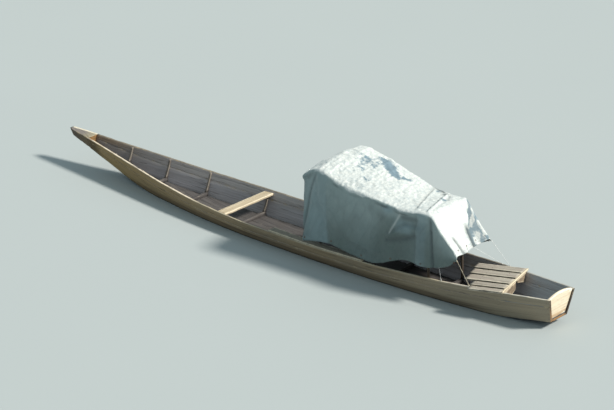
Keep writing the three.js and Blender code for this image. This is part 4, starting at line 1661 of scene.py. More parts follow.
@dataclass
class ShelterPoles:
    """Peeled poles that carry the cloth."""

    finishes: Finishes
    stations: tuple[str, ...] = ("fore", "mid", "aft")
    rail_radius: float = 0.013
    bar_radius: float = 0.015
    post_radius: float = 0.017
    step: float = 0.02
    around: int = 14
    rough: float = 0.0007
    station_seeds: tuple[int, ...] = (130, 135, 140)
    long_seed: int = 145

    def build(self) -> None:
        """Builds and places every pole."""
        for seed, station in zip(self.station_seeds, self.stations):
            self._pole(f"shelter_bar_{station}", 1, self.bar_radius, seed)
            for side in Side:
                self._pole(f"shelter_post_{station}_{side.label}", 2, self.post_radius, seed + 2 + side.value)
        for seed, pole in enumerate(LONG_POLES, self.long_seed):
            self._pole(pole, 0, self.rail_radius, seed)

    def _pole(self, node: str, axis: int, radius: float, seed: int) -> None:
        """Builds one pole, thicker at its knots and slightly uneven between them.

        Args:
            node: Name of its node.
            axis: Axis that it runs along.
            radius: Its usual radius.
            seed: Seed of its unevenness.
        """
        path = smooth_path(ring_centres(node, axis), self.step)
        knots = np.clip(lattice_noise(path, 0.16, seed) - 0.35, 0, 1)
        width = radius * (0.9 + 0.05 * lattice_noise(path, 0.4, seed + 1) + 0.12 * knots)
        rings = pole_rings(path, width, self.around)
        points = rings.reshape(-1, 3)
        rings = (points + self.rough * shake(points, 0.02, seed)).reshape(rings.shape)
        mesh = mesh_from_rings(f"pole_{node}", rings)
        along = np.arange(len(path)) * self.step
        around = np.linspace(0, TURN * radius, self.around, endpoint=False)
        grain = np.broadcast_arrays(along[:, None], around[None], np.full((1, 1), 0.3 * seed))
        add_attribute(mesh, "grain", np.stack(grain, axis=2).reshape(-1, 3))
        add_attribute(mesh, "edge", np.repeat(knots, self.around))
        place_piece(finish_object(mesh, self.finishes.pole), HULL_BODY, [node])


class FoldShape(Enum):
    """Section of a fold in the cloth."""

    RIDGE = "ridge"
    CREASE = "crease"
    STEP = "step"


RIDGE, CREASE, STEP = FoldShape


class Sheet:
    """Grid of points on a cloth, with the piece that it becomes."""

    def __init__(self, points: Array, across: Array) -> None:
        """Keeps the grid.

        Args:
            points: Points in rows along the cloth and columns across it.
            across: Place across the cloth of each point.
        """
        self.points = points
        self.across = across
        self.piece: Piece | None = None
        normal = np.cross(np.gradient(points, axis=1), np.gradient(points, axis=0))
        normal /= np.maximum(np.linalg.norm(normal, axis=2, keepdims=True), 1e-9)
        rows, columns = points.shape[:2]
        self.normals = -normal if normal[rows // 2, columns // 2, 2] < 0 else normal

    def raised(self, height: Array) -> Sheet:
        """The same cloth with each point moved out by a height."""
        return Sheet(self.points + self.normals * height[..., None], self.across)

    def mesh(self, name: str) -> Mesh:
        """Open mesh of the grid, facing out.

        Args:
            name: Name of the mesh.

        Returns:
            The mesh.
        """
        rows, columns = self.points.shape[:2]
        faces = [(i * columns + j, (i + 1) * columns + j, (i + 1) * columns + j + 1, i * columns + j + 1)
                 for i in range(rows - 1) for j in range(columns - 1)]
        mesh = bpy.data.meshes.new(name)
        mesh.from_pydata(self.points.reshape(-1, 3).tolist(), [], faces)
        mesh.update()
        if mesh.polygons[(rows // 2) * (columns - 1) + columns // 2].normal.z < 0:
            mesh.flip_normals()
        return mesh

    def area(self) -> float:
        """Area of the cloth."""
        first, second = np.diff(self.points, axis=0)[:, :-1], np.diff(self.points, axis=1)[:-1]
        return float(np.linalg.norm(np.cross(first, second), axis=2).sum())

    def along_hem(self, row: int | None, column: int | None, lift: float) -> Array:
        """Points of one row or one column, a little proud of the cloth."""
        pick = (row, slice(None)) if row is not None else (slice(None), column)
        return self.points[pick] + lift * self.normals[pick]

    def on_top(self, line: Sequence[tuple[float, float]], spacing: float, lift: float) -> Array:
        """Points on the top of the cloth under a line given in x and y.

        Args:
            line: Both ends of the line.
            spacing: Distance between the points.
            lift: How far they stand proud of the cloth.

        Returns:
            The points.
        """
        ends = np.array(line, float)
        count = max(2, int(np.linalg.norm(ends[-1] - ends[0]) / spacing))
        places = ends[0] + (ends[-1] - ends[0]) * np.linspace(0, 1, count)[:, None]
        top = np.abs(self.across) < 1
        points, normals = self.points[top], self.normals[top]
        nearest = [np.argmin(((points[:, :2] - place) ** 2).sum(axis=1)) for place in places]
        lifted = points[nearest] + lift * normals[nearest]
        lifted[:, :2] = places + lift * normals[nearest][:, :2]
        return lifted


@dataclass(frozen=True)
class Fold:
    """A fold along a line on one face of the cloth.

    The line holds (x, z) points on a wall, and (x, y) points on the top. A step stands out on the left of its
    line. shade is how dark the fold is painted: painted shade, with some soiling in the fold.
    """

    shape: FoldShape
    line: Line
    height: float
    width: float
    shade: float = 0.0

    def at(self, place: Array) -> tuple[Array, Array]:
        """Height and shade that the fold adds.

        Args:
            place: Points of the face, two numbers each.

        Returns:
            Height out of the face and shade, for each point.
        """
        nearest = np.full(place.shape[:-1], np.inf)
        across = np.zeros_like(nearest)
        for start, end in zip(np.array(self.line), np.array(self.line)[1:]):
            run = end - start
            t = np.clip(((place - start) @ run) / (run @ run), 0, 1)
            gap = place - start - t[..., None] * run
            distance = np.linalg.norm(gap, axis=-1)
            side = (run[0] * gap[..., 1] - run[1] * gap[..., 0]) / np.linalg.norm(run)
            across = np.where(distance < nearest, side, across)
            nearest = np.minimum(nearest, distance)
        past_end = np.sqrt(np.maximum(nearest**2 - across**2, 0))
        dark = bell(nearest, 0, self.width)
        if self.shape is FoldShape.CREASE:
            height = -self.height * np.exp(-1.3 * nearest / self.width)
        elif self.shape is FoldShape.STEP:
            raised = smoothstep(-self.width, self.width, across)
            spread = bell(np.maximum(across, 0), 0, 6 * self.width) * bell(past_end, 0, 3 * self.width)
            height = self.height * raised * spread
            dark = bell(across, -self.width, self.width) * bell(past_end, 0, 2 * self.width)
        else:
            height = self.height * dark
        return height, self.shade * dark


def spot(u: Array, v: Array, place: tuple[float, float, float, float], power: int = 2) -> Array:
    """Bell over a face, from its middle on two axes and its width along each."""
    return bell(u, place[0], place[2], power) * bell(v, place[1], place[3], power)


@dataclass
class Shelter:
    """Tarpaulin over the poles."""

    finishes: Finishes
    outline: SmoothTable = field(default_factory=lambda: SmoothTable(
        ("port", "starboard", "crown", "half", "hem_starboard", "tuck", "skew", "lean"),
        (
            (-2.60, 0.715, 0.650, 0.010, 0.385, 0.238, 0.0, 0.130, 0.0),
            (-2.38, 0.925, 0.860, 0.015, 0.380, 0.150, 0.008, 0.105, 0.0),
            (-2.18, 1.085, 1.040, 0.020, 0.375, 0.060, 0.012, 0.075, 0.0),
            (-1.80, 1.050, 1.035, 0.025, 0.388, 0.001, 0.014, 0.020, 0.0),
            (-1.40, 1.075, 1.110, 0.035, 0.398, 0.001, 0.012, 0.0, 0.0),
            (-0.95, 1.125, 1.225, 0.050, 0.402, 0.001, 0.012, 0.0, 0.0),
            (-0.62, 1.200, 1.255, 0.060, 0.402, 0.001, 0.012, 0.0, 0.0),
            (-0.50, 1.160, 1.190, 0.055, 0.402, 0.001, 0.014, 0.0, 0.035),
            (-0.42, 1.080, 1.100, 0.045, 0.408, 0.001, 0.016, 0.0, 0.070),
        ),
    ))
    port_hem: SmoothTable = field(default_factory=lambda: SmoothTable(
        ("hem",),
        (
            (-2.60, 0.285), (-2.50, 0.195), (-2.36, 0.145), (-2.20, 0.127), (-2.08, 0.134), (-1.94, 0.150),
            (-1.74, 0.102), (-1.60, 0.050), (-1.46, 0.023), (-1.31, 0.026), (-1.16, 0.046), (-1.00, 0.080),
            (-0.88, 0.100), (-0.76, 0.092), (-0.62, 0.076), (-0.50, 0.048), (-0.42, 0.032),
        ),
    ))
    skew_half: float = 0.4
    lean_share: float = 0.4
    shoulder_round: float = 0.034
    shoulder_start: float = 0.915
    step: float = 0.010
    wall_points: int = 56
    shoulder_points: int = 10
    top_points: int = 84
    thick: float = 0.0025
    front_turn: float = 0.30
    aft_droop: float = 0.030
    front_line: Line = ((-0.425, 0.38), (-0.470, 0.65), (-0.515, 0.95), (-0.589, 1.20))
    seam_x: float = -0.742
    pale_line: Line = ((-1.814, 1.023), (-1.682, 0.759))
    slope_x: float = -2.22
    peak: tuple[float, float, float, float] = (-0.69, -0.30, 0.13, 0.16)
    peak_height: float = 0.022
    bulge: tuple[float, float, float, float] = (-2.51, -0.112, 0.07, 0.036)
    recess: tuple[float, float, float, float] = (-1.86, 0.87, 0.13, 0.075)
    glint: tuple[float, float, float, float] = (-1.62, 1.01, 0.075, 0.05)
    pleat_x: float = -2.11
    stroke_size: float = 0.075
    wall_folds: tuple[Fold, ...] = (
        Fold(CREASE, ((-0.589, 1.197), (-0.515, 0.946), (-0.47, 0.653), (-0.425, 0.382)), 0.02, 0.022, 0.55),
        Fold(RIDGE, ((-0.640, 1.15), (-0.575, 0.946), (-0.530, 0.653), (-0.500, 0.45)), 0.010, 0.030),
        Fold(CREASE, ((-0.765, 0.95), (-0.790, 0.73), (-0.830, 0.44)), 0.007, 0.024, 0.14),
        Fold(CREASE, ((-0.560, 1.19), (-0.500, 1.135), (-0.440, 1.08)), 0.010, 0.026, 0.55),
        Fold(STEP, ((-0.903, 0.626), (-0.798, 0.719), (-0.649, 0.922)), 0.012, 0.030, 0.14),
        Fold(STEP, ((-0.80, 0.60), (-0.70, 0.80), (-0.62, 1.10)), 0.010, 0.026, 0.12),
        Fold(STEP, ((-1.462, 0.419), (-1.125, 0.505)), 0.011, 0.026, 0.18),
        Fold(STEP, ((-1.45, 0.47), (-1.20, 0.50), (-1.0, 0.60)), 0.010, 0.024, 0.14),
        Fold(RIDGE, ((-1.05, 1.08), (-1.12, 0.85), (-1.30, 0.62)), 0.008, 0.045),
        Fold(CREASE, ((-1.50, 0.98), (-1.52, 0.78), (-1.66, 0.60)), 0.006, 0.050, 0.10),
        Fold(STEP, ((-1.675, 0.745), (-1.76, 0.80), (-1.887, 0.888), (-2.029, 0.903)), 0.024, 0.022, 0.30),
        Fold(CREASE, ((-2.02, 0.80), (-1.90, 0.745), (-1.78, 0.70), (-1.66, 0.67)), 0.018, 0.042, 0.62),
        Fold(CREASE, ((-2.02, 0.985), (-1.84, 0.975)), 0.018, 0.034, 0.62),
        Fold(RIDGE, ((-2.115, 1.08), (-2.125, 0.80), (-2.13, 0.50)), 0.016, 0.070),
        Fold(CREASE, ((-2.020, 1.06), (-2.035, 0.80), (-2.050, 0.50)), 0.010, 0.016, 0.30),
        Fold(CREASE, ((-2.208, 1.107), (-2.241, 0.868), (-2.291, 0.50)), 0.026, 0.022, 0.72),
        Fold(RIDGE, ((-2.33, 0.93), (-2.40, 0.75), (-2.47, 0.60)), 0.012, 0.045),
    )
    top_folds: tuple[Fold, ...] = (
        Fold(CREASE, ((-1.946, 0.316), (-1.828, 0.008), (-1.688, -0.332)), 0.012, 0.020, 0.34),
        Fold(RIDGE, ((-1.94, 0.22), (-1.83, -0.05), (-1.73, -0.30)), 0.008, 0.018),
        Fold(RIDGE, ((-2.135, 0.310), (-2.035, -0.008), (-1.915, -0.309)), 0.013, 0.018),
        Fold(CREASE, ((-2.102, 0.310), (-2.004, -0.008), (-1.882, -0.309)), 0.006, 0.013, 0.30),
        Fold(RIDGE, ((-1.690, -0.372), (-1.79, -0.352), (-1.850, -0.320)), 0.002, 0.022, 0.85),
        Fold(RIDGE, ((-1.920, -0.288), (-1.895, -0.272)), 0.004, 0.024, 0.85),
        Fold(CREASE, ((-1.92, -0.33), (-2.00, -0.22), (-2.06, -0.12)), 0.008, 0.018, 0.30),
        Fold(RIDGE, ((-0.70, 0.38), (-0.78, 0.05), (-0.72, -0.35)), 0.006, 0.035),
        Fold(CREASE, ((-1.05, 0.38), (-1.30, 0.10), (-1.42, -0.30)), 0.006, 0.030, 0.05),
        Fold(CREASE, ((-1.50, 0.36), (-1.55, 0.05), (-1.48, -0.30)), 0.006, 0.026, 0.05),
        Fold(RIDGE, ((-2.128, -0.343), (-2.224, -0.247), (-2.308, -0.149), (-2.352, -0.080)), 0.012, 0.030),
        Fold(CREASE, ((-2.385, -0.074), (-2.415, -0.054), (-2.48, -0.032), (-2.56, -0.004)),
             0.022, 0.044, 0.85),
        Fold(CREASE, ((-2.53, 0.110), (-2.60, 0.120)), 0.012, 0.014, 0.45),
        Fold(CREASE, ((-2.455, 0.245), (-2.53, 0.225), (-2.60, 0.210)), 0.020, 0.026, 0.80),
        Fold(RIDGE, ((-2.36, 0.12), (-2.62, 0.19)), 0.012, 0.030),
        Fold(CREASE, ((-2.30, -0.24), (-2.40, -0.12)), 0.012, 0.018, 0.25),
        Fold(CREASE, ((-2.40, -0.30), (-2.50, -0.14)), 0.014, 0.020, 0.25),
        Fold(CREASE, ((-2.24, -0.24), (-2.42, -0.20), (-2.60, -0.20)), 0.014, 0.024, 0.34),
        Fold(CREASE, ((-2.26, -0.34), (-2.44, -0.30), (-2.60, -0.32)), 0.012, 0.020, 0.30),
        Fold(RIDGE, ((-2.22, -0.29), (-2.60, -0.26)), 0.012, 0.024),
    )
    worn_spots: Spots = (
        (-0.80, -0.10, 0.14, 0.52), (-0.90, -0.12, 0.14, 0.64), (-1.00, -0.10, 0.12, 0.56),
        (-0.94, 0.07, 0.16, 0.48), (-1.12, 0.20, 0.14, 0.40), (-0.98, -0.29, 0.07, 0.80),
        (-1.05, -0.27, 0.085, 1.00), (-1.11, -0.245, 0.09, 1.08), (-1.17, -0.215, 0.09, 1.08),
        (-1.23, -0.183, 0.085, 1.08), (-1.28, -0.155, 0.075, 1.05), (-1.32, -0.135, 0.06, 1.0),
        (-1.38, -0.182, 0.05, 0.95), (-1.43, -0.208, 0.05, 0.85), (-2.04, -0.09, 0.07, 0.66),
        (-1.78, -0.30, 0.06, 0.60),
    )
    facet_line: Line = (
        (-2.62, 0.04), (-2.536, 0.008), (-2.412, -0.067), (-2.352, -0.091), (-2.308, -0.149),
        (-2.224, -0.247), (-2.128, -0.343), (-2.06, -0.44),
    )
    shaded_fold_band_line: Line = ((-2.395, -0.074), (-2.60, 0.004))
    edge_drop: Line = (
        (-1.90, 0.0), (-1.80, 0.0), (-1.64, 0.016), (-1.45, 0.013), (-1.31, 0.005), (-1.11, -0.010),
        (-0.96, -0.002), (-0.8, 0.0),
    )
    wall_shade_spots: Spots = (
        (-1.54, 0.92, 0.08, 0.30), (-1.40, 0.98, 0.05, 0.22), (-1.22, 0.78, 0.12, 0.12),
        (-1.21, 0.47, 0.10, 0.16), (-1.51, 0.45, 0.14, 0.22), (-1.84, 0.55, 0.12, 0.16),
        (-0.98, 0.60, 0.10, 0.10), (-2.08, 0.88, 0.10, 0.20), (-2.13, 0.66, 0.09, 0.26),
        (-1.89, 1.02, 0.07, 0.24),
    )

    def section(self, x: float, across: Array) -> Array:
        """Points of the cloth at one station.

        Args:
            x: The station.
            across: Places from 2 at the port hem, 1 at the port shoulder and 0 at the ridge, to -2.

        Returns:
            One point for each place.
        """
        read, turned = self.outline.at, self.shoulder_start
        half, crown = read("half", x), read("crown", x)
        hem_half = Hull.beam(x) - read("tuck", x)
        shoulders = {1: read("port", x), -1: read("starboard", x)}
        hems = {1: self.port_hem.at("hem", x), -1: read("hem_starboard", x)}
        middle = (shoulders[1] + shoulders[-1]) / 2
        tilt = (shoulders[1] - shoulders[-1]) / 2
        points = []
        for place in across:
            side = 1 if place >= 0 else -1
            far, head, hem = abs(place), shoulders[side], Hull.sheer(x) + hems[side]
            foot = head - self.shoulder_round
            if far <= turned:
                y, z = half * place, middle + tilt * place + crown * (1 - place * place)
            elif far <= 1.0:
                share = (far - turned) / (1 - turned)
                turn = math.pi / 2 * share
                flat = middle + tilt * side * turned + crown * (1 - turned**2)
                y = side * (half - self.shoulder_round * (1 - math.sin(turn)))
                z = head - self.shoulder_round * (1 - math.cos(turn)) + (flat - head) * (1 - share)
            else:
                y = side * (hem_half + (half - hem_half) * (2 - far))
                z = hem + (foot - hem) * (2 - far)
            up = min(1.0, (z - hem) / (foot - hem))
            skew = read("skew", x) * (1 - y / self.skew_half) / 2
            points.append((x + skew + read("lean", x) * (up - self.lean_share), y, z))
        return np.array(points)

    def grid(self) -> tuple[Array, Array]:
        """Points of the smooth sheet, and the place across of each column."""
        xs = stations(self.outline.x[0], self.outline.x[-1], self.step)
        half = np.concatenate([
            np.linspace(2, 1, self.wall_points, endpoint=False),
            np.linspace(1, self.shoulder_start, self.shoulder_points, endpoint=False),
            np.linspace(self.shoulder_start, 0, self.top_points // 2, endpoint=False),
        ])
        across = np.concatenate([half, [0.0], -half[::-1]])
        points = np.array([self.section(x, across) for x in xs])
        aft = smoothstep(self.outline.x[0] + 0.15, self.outline.x[0], points[..., 0])
        points[..., 2] -= self.aft_droop * aft * bell(points[..., 1], 0.17, 0.13)
        return points, across

    def build(self) -> Sheet:
        """Builds and places the cloth.

        Returns:
            Its finished surface, for what is sewn to it.
        """
        smooth, across = self.grid()
        across = np.broadcast_to(across[None], smooth.shape[:2])
        height, shade = self._relief(smooth, across)
        sheet = Sheet(smooth, across).raised(height)
        mesh = sheet.mesh("shelter_tarpaulin")
        for name, values in self._colouring(smooth, across, shade).items():
            add_attribute(mesh, name, values.reshape(-1))
        piece = finish_object(mesh, self.finishes.cloth)
        solid = piece.modifiers.new("cloth thickness", "SOLIDIFY")
        solid.thickness = self.thick
        solid.offset = -1
        place_piece(piece, HULL_BODY, ["shelter_cloth"])
        sheet.piece = piece
        return sheet

    def _relief(self, points: Array, across: Array) -> tuple[Array, Array]:
        """How far each point stands out of the smooth sheet, and how dark its painted shade is.

        Args:
            points: Points of the smooth sheet.
            across: Place across of each point.

        Returns:
            Height and painted shade at each point.
        """
        x, y, z = (points[..., axis] for axis in range(3))
        side, flat, none = np.sign(across), (x, y + 0.6 * z, 0 * x), 0 * x
        far = np.abs(across)
        wall, top = smoothstep(0.93, 1.06, far), smoothstep(1.04, 0.90, far)
        drop = np.clip(far - 1, 0, 1)
        drapes = self._noise((x + 0.12 * z, 0.18 * z, side), 0.17, 201)
        narrow = self._noise((x - 0.10 * z, 0.15 * z, side), 0.075, 202)
        height = wall * (drapes * (0.007 + 0.013 * drop) + narrow * (0.003 + 0.006 * drop**2))
        height += wall * 0.010 * (0.4 - self._strokes(x, z, side))
        relief = 0.006 * self._noise(flat, 0.24, 203)
        crumples = ((0.12, 204, 0.014), (0.055, 205, 0.009), (0.028, 206, 0.0045))
        ridged = sum(amount * (0.5 - np.abs(self._noise(flat, size, seed)))
                     for size, seed, amount in crumples)
        height += (0.25 + 0.75 * top) * (relief + ridged * (0.25 + 0.75 * top))
        height += 0.009 * bell(far, 0.99, 0.05) * self._noise((x, none, side), 0.075, 207)
        slope = smoothstep(self.slope_x - 0.12, self.outline.x[0], x) * top
        height += slope * 0.026 * (0.4 - np.abs(self._noise((0.25 * x, y, none), 0.085, 208)))
        ends = smoothstep(0.10, 0.0, x - self.outline.x[0]) + smoothstep(0.06, 0.0, self.outline.x[-1] - x)
        height += ends * 0.006 * self._noise(flat, 0.06, 209)
        # Painted shade along the folds, with some soiling in them.
        shade = np.zeros_like(height)
        faces = ((self.wall_folds, z, wall, 1.0 * (across > 0)), (self.top_folds, y, top, 1.0))
        for folds, beside, share, near in faces:
            place = np.stack([x, beside], axis=-1)
            for fold in folds:
                lift, dark = fold.at(place)
                height += share * lift * (0.35 + 0.65 * near)
                shade = np.maximum(shade, share * dark * (0.3 + 0.7 * near))
        height += self.peak_height * spot(x, y, self.peak)
        least = np.where(far > 0.72, -0.004, -0.008)
        height = np.where(far < 1.2, np.maximum(height, least), height)
        height -= wall * self.front_turn * np.maximum(self._ahead(x, z), 0)
        return height, shade

    def _ahead(self, x: Array, z: Array) -> Array:
        """How far each point lies forward of the line where the open front turns in."""
        line_x, line_z = zip(*self.front_line)
        return x - np.interp(z, line_z, line_x)

    def _strokes(self, x: Array, z: Array, side: Array) -> Array:
        """Slanting strokes on the walls: 0 along the middle of each, and more beside it."""
        return np.abs(self._noise((x + 0.5 * z, 0.35 * (z - x), side), self.stroke_size, 216))

    @staticmethod
    def _line_gap(x: Array, z: Array, line: Line) -> Array:
        """Distance of each point of a face from a straight line on it."""
        start, end = np.array(line)
        run = end - start
        place = np.stack([x, z], axis=-1) - start
        t = np.clip((place @ run) / (run @ run), 0, 1)
        return np.linalg.norm(place - t[..., None] * run, axis=-1)

    @staticmethod
    def _noise(axes: Sequence[Array], size: float, seed: int) -> Array:
        """Smooth noise over the grid."""
        points = np.stack(np.broadcast_arrays(*axes), axis=-1)
        return lattice_noise(points.reshape(-1, 3), size, seed).reshape(points.shape[:-1])

    def _colouring(self, points: Array, across: Array, shade: Array) -> dict[str, Array]:
        """Numbers that the cloth's finish reads at each point.

        Args:
            points: Points of the smooth sheet.
            across: Place across of each point.
            shade: Painted shade of the folds.

        Returns:
            One array for each attribute.
        """
        x, y, z = (points[..., axis] for axis in range(3))
        side, far, port_wall, none = np.sign(across), np.abs(across), across > 1, 0 * x
        ragged = 0.007 * self._noise((x, z, side), 0.045, 211) + 0.010 * self._noise((x, z, none), 0.11, 212)
        below = np.where(far > 1, 0.70, 0.39) * (far - 1) + np.interp(x, *zip(*self.edge_drop))
        # Painted shade: the front corner, which faces away from the key light, keeps the wall colour instead
        # of the bleached top.
        corner = smoothstep(0.80, 0.97, across) * smoothstep(0.0, 0.05, self._ahead(x, z))
        top = smoothstep(0.0, -0.010, below + 0.006 + ragged) * (1 - corner)
        pale = bell(self._line_gap(x, z, self.pale_line), 0, 0.010)
        top = np.maximum(top, 0.55 * pale * port_wall)
        worn = np.zeros_like(x)
        for spot_x, spot_y, size, weight in self.worn_spots:
            worn = np.maximum(worn, weight * spot(x, y, (spot_x, spot_y, size, size)))
        # Aft starboard facet: greyer through the worn colour and darkened as painted shade, except the
        # lighter bulge.
        beyond = np.interp(x, *zip(*self.facet_line)) - y
        facet = smoothstep(-0.01, 0.030, beyond + 0.6 * ragged) * smoothstep(-2.07, -2.13, x)
        crinkled = self._noise((x + 0.8 * y, 0.25 * (y - x), none), 0.030, 214)
        inner_strip = smoothstep(0.13, 0.04, beyond)
        bulge = spot(x, y, self.bulge)
        worn = np.maximum(worn, facet * (0.52 + 0.34 * inner_strip + 0.60 * crinkled)) * (1 - 0.9 * bulge)
        shade = np.maximum(shade, 0.46 * facet * smoothstep(-0.98, -0.82, across) * (1 - bulge))
        # Painted shade: a wide band along a fold on the aft slope takes the worn colour and is darkened.
        band = bell(self._line_gap(x, y, self.shaded_fold_band_line), 0, 0.030, 4)
        worn, shade = np.maximum(worn, 0.95 * band), np.maximum(shade, 0.42 * band)
        drop = np.clip(far - 1, 0, 1)
        pleat = 0.5 * bell(x, self.pleat_x, 0.075, 4)
        past_seam = x - self.seam_x + 0.12 * (1.1 - z)
        fore = smoothstep(-0.030, 0.020, past_seam + ragged) * (0.30 + 0.3 * drop)
        blotch = 0.30 * np.clip(self._noise((x, 0.5 * z, none), 0.35, 213), 0, 1)
        marks = 0.75 * spot(x, z, self.recess, 4) + 0.9 * spot(x, z, self.glint)
        tint = np.clip(np.maximum(pleat, fore) + blotch + marks, 0, 1)
        # Painted shadow: a broken dark line just under the port shoulder; the walls also darken along
        # slanting strokes.
        broken = np.clip(0.55 + 1.1 * self._noise((x, z, none), 0.09, 215), 0, 1)
        length = smoothstep(-1.95, -1.85, x) * smoothstep(-0.78, -0.90, x)
        under = bell(below, 0.011, 0.012) * broken * length * (across > 0)
        strokes = smoothstep(0.36, 0.0, self._strokes(x, z, side)) * smoothstep(1.02, 1.15, far)
        dim = 0.72 * under + 0.12 * strokes
        # Painted shade: darker spots on the port wall.
        for spot_x, spot_z, size, weight in self.wall_shade_spots:
            dim += weight * spot(x, z, (spot_x, spot_z, size, size)) * port_wall
        shade = np.clip(np.maximum(shade, dim), 0, 0.85)
        # Painted shade: towards the aft, the walls take more of the darker lower wall colour.
        aft = smoothstep(-1.25, -1.75, x) * (1 - 0.8 * smoothstep(-2.14, -2.26, x))
        drop = np.clip(drop + 0.42 * aft * smoothstep(1.02, 1.2, far), 0, 1.2)
        return {"top": top, "worn": worn, "shade": shade, "tint": tint, "drop": drop}


@dataclass
class Fastenings:
    """Nails, lashings, eyelets, stitches and taut cords."""

    finishes: Finishes
    repeats: Repeats
    framing: Framing
    platform: Platform
    nail_proud: float = 0.0006
    side_shares: tuple[float, ...] = (0.20, 0.50, 0.84)
    stern_shares: tuple[float, ...] = (0.14, 0.38, 0.60, 0.86)
    stern_nails_x: float = -3.705
    bow_nails_x: float = 3.36
    cord_strand: float = 0.0009
    guy_strand: float = 0.0013
    tie_strand: float = 0.0008
    turns: int = 4
    hem_lift: float = 0.0008
    tie_feet: tuple[float, float] = (-2.66, -2.405)
    tie_head_x: float = -2.367
    tie_inset: float = 0.012
    top_seam: Line = ((-2.112, 0.310), (-1.960, -0.156))
    cloth_size: tuple[float, float] = (2.25, 2.35)
    cloth_area: float = 5.10

    def build(self, sheet: Sheet) -> None:
        """Args:
            sheet: Finished surface of the cloth.
        """
        self._hull_nails()
        self._platform_nails()
        self._lashings()
        self._cords(sheet)
        sewn = [self._stitches(sheet), self._eyelets(sheet)]
        LOG.info("cloth: %.2f square metres", sheet.area())

    def _side_nail(self, side: Side, x: float, share: float) -> tuple[Point, Point]:
        """Place and facing of a nail on the outside of a side plank.

        Args:
            side: Side of the boat.
            x: Its place along the boat.
            share: Its share of the side's height.

        Returns:
            The place and the direction that it faces.
        """

        def place(at: float, part: float) -> Array:
            """Point of the outside of the side."""
            half, z = Hull.side(at, part)
            return np.array([at, side.value * half, z])

        here = place(x, share)
        normal = np.cross(place(x + 0.01, share) - here, place(x, share + 0.02) - here)
        normal *= math.copysign(1, normal[1] * side.value) / np.linalg.norm(normal)
        return tuple(here + self.nail_proud * normal), tuple(normal)

    def _hull_nails(self) -> None:
        """Nails through the side planks at the frames and both ends, and into the boards."""
        framing, nails = self.framing, []
        for side in Side:
            for station in framing.stations:
                for i, share in enumerate(self.side_shares):
                    nails.append(self._side_nail(side, station.x + 0.006 * (i % 2), share))
            nails += [self._side_nail(side, self.stern_nails_x, share) for share in self.stern_shares]
            nails += [self._side_nail(side, self.bow_nails_x, share) for share in self.side_shares]
            seat_z = Hull.sheer(framing.seat_x) - framing.seat_below + self.nail_proud
            edge = Hull.inside(framing.seat_x, seat_z) - 0.022
            nails += [((framing.seat_x + x, side.value * edge, seat_z), (0, 0, 1)) for x in (-0.03, 0.035)]
        for x in stations(framing.board_aft + 0.05, framing.board_fore - 0.05, 0.24):
            top = Hull.sheer(x) + Hull.touch + framing.board_thick + self.nail_proud
            nails.append(((x, Hull.beam(x) - 0.030, top), (0, 0, 1)))
        mesh = point_mesh("hull_nail_heads", *zip(*nails))
        place_piece(self.repeats.run(self.repeats.heads, mesh, self.finishes.iron), HULL_BODY)

    def _platform_nails(self) -> None:
        """Nails through the slats into the battens."""
        deck = self.platform
        place = np.array(deck.placement())
        spots = [
            (at + deck.batten_wide / 2, start + wide * share, deck.thick + self.nail_proud, 1)
            for _, at, _, _ in deck.battens for start, wide, _ in deck.slats for share in (0.25, 0.75)
        ]
        points = [tuple((place @ np.array(nail))[:3]) for nail in spots]
        mesh = point_mesh("platform_nail_heads", points, [tuple(place[:3, 2])] * len(points))
        piece = self.repeats.run(self.repeats.heads, mesh, self.finishes.iron, {"Radius": 0.0038, "Seed": 9})
        place_piece(piece, PLATFORM_BODY)

    def _wrap(self, centre: Array, across: Array, wide: float, tall: float, shift: Array) -> Array:
        """Turns of cord round two poles that lie on each other.

        Args:
            centre: Middle of the crossing.
            across: Level direction of the turns.
            wide: Half width of a turn.
            tall: Half height of a turn.
            shift: How far each turn moves on.

        Returns:
            Points of the cord.
        """
        angles = np.linspace(0, TURN * self.turns, 26 * self.turns)
        level, height = (np.sign(wave) * np.sqrt(np.abs(wave)) for wave in (np.cos(angles), np.sin(angles)))
        on = (angles / TURN - self.turns / 2)[:, None] * shift
        return centre + wide * level[:, None] * across + tall * height[:, None] * np.array([0, 0, 1.0]) + on

    def _lashings(self) -> None:
        """Crossed turns of cord where the long poles lie on the crossbars."""
        paths = []
        slack = self.cord_strand * 2.6
        lay = 2.4 * self.cord_strand * 1.6
        below, above = ShelterPoles.bar_radius, ShelterPoles.rail_radius
        for station in ShelterPoles.stations:
            at_bar = smooth_path(ring_centres(f"shelter_bar_{station}", 1), 0.005)
            for pole in LONG_POLES:
                at_rail = smooth_path(ring_centres(pole, 0), 0.005)
                gaps = np.linalg.norm(at_bar[:, None, :2] - at_rail[None, :, :2], axis=2)
                i, k = np.unravel_index(np.argmin(gaps), gaps.shape)
                lower, upper = at_bar[i], at_rail[k]
                tall = (upper[2] - lower[2] + above + below) / 2 + slack
                centre = (lower + upper) / 2
                centre[2] = (lower[2] - below + upper[2] + above) / 2
                for turn in (1, -1):
                    across = np.array([1, turn, 0]) / math.sqrt(2)
                    shift = np.array([-turn, 1, 0]) / math.sqrt(2) * lay
                    paths.append(self._wrap(centre, across, below * 1.42 + slack, tall, shift))
        self._rope("pole_lashings", paths, self.finishes.cord, self.cord_strand)

    def _rope(
        self, name: str, paths: Sequence[Array], finish: Material, strand: float, nodes: Sequence[str] = ()
    ) -> None:
        """Builds and places a piece of twisted cord."""
        piece = self.repeats.run(self.repeats.cord, path_mesh(name, paths), finish, {"Strand": strand})
        place_piece(piece, HULL_BODY, nodes)

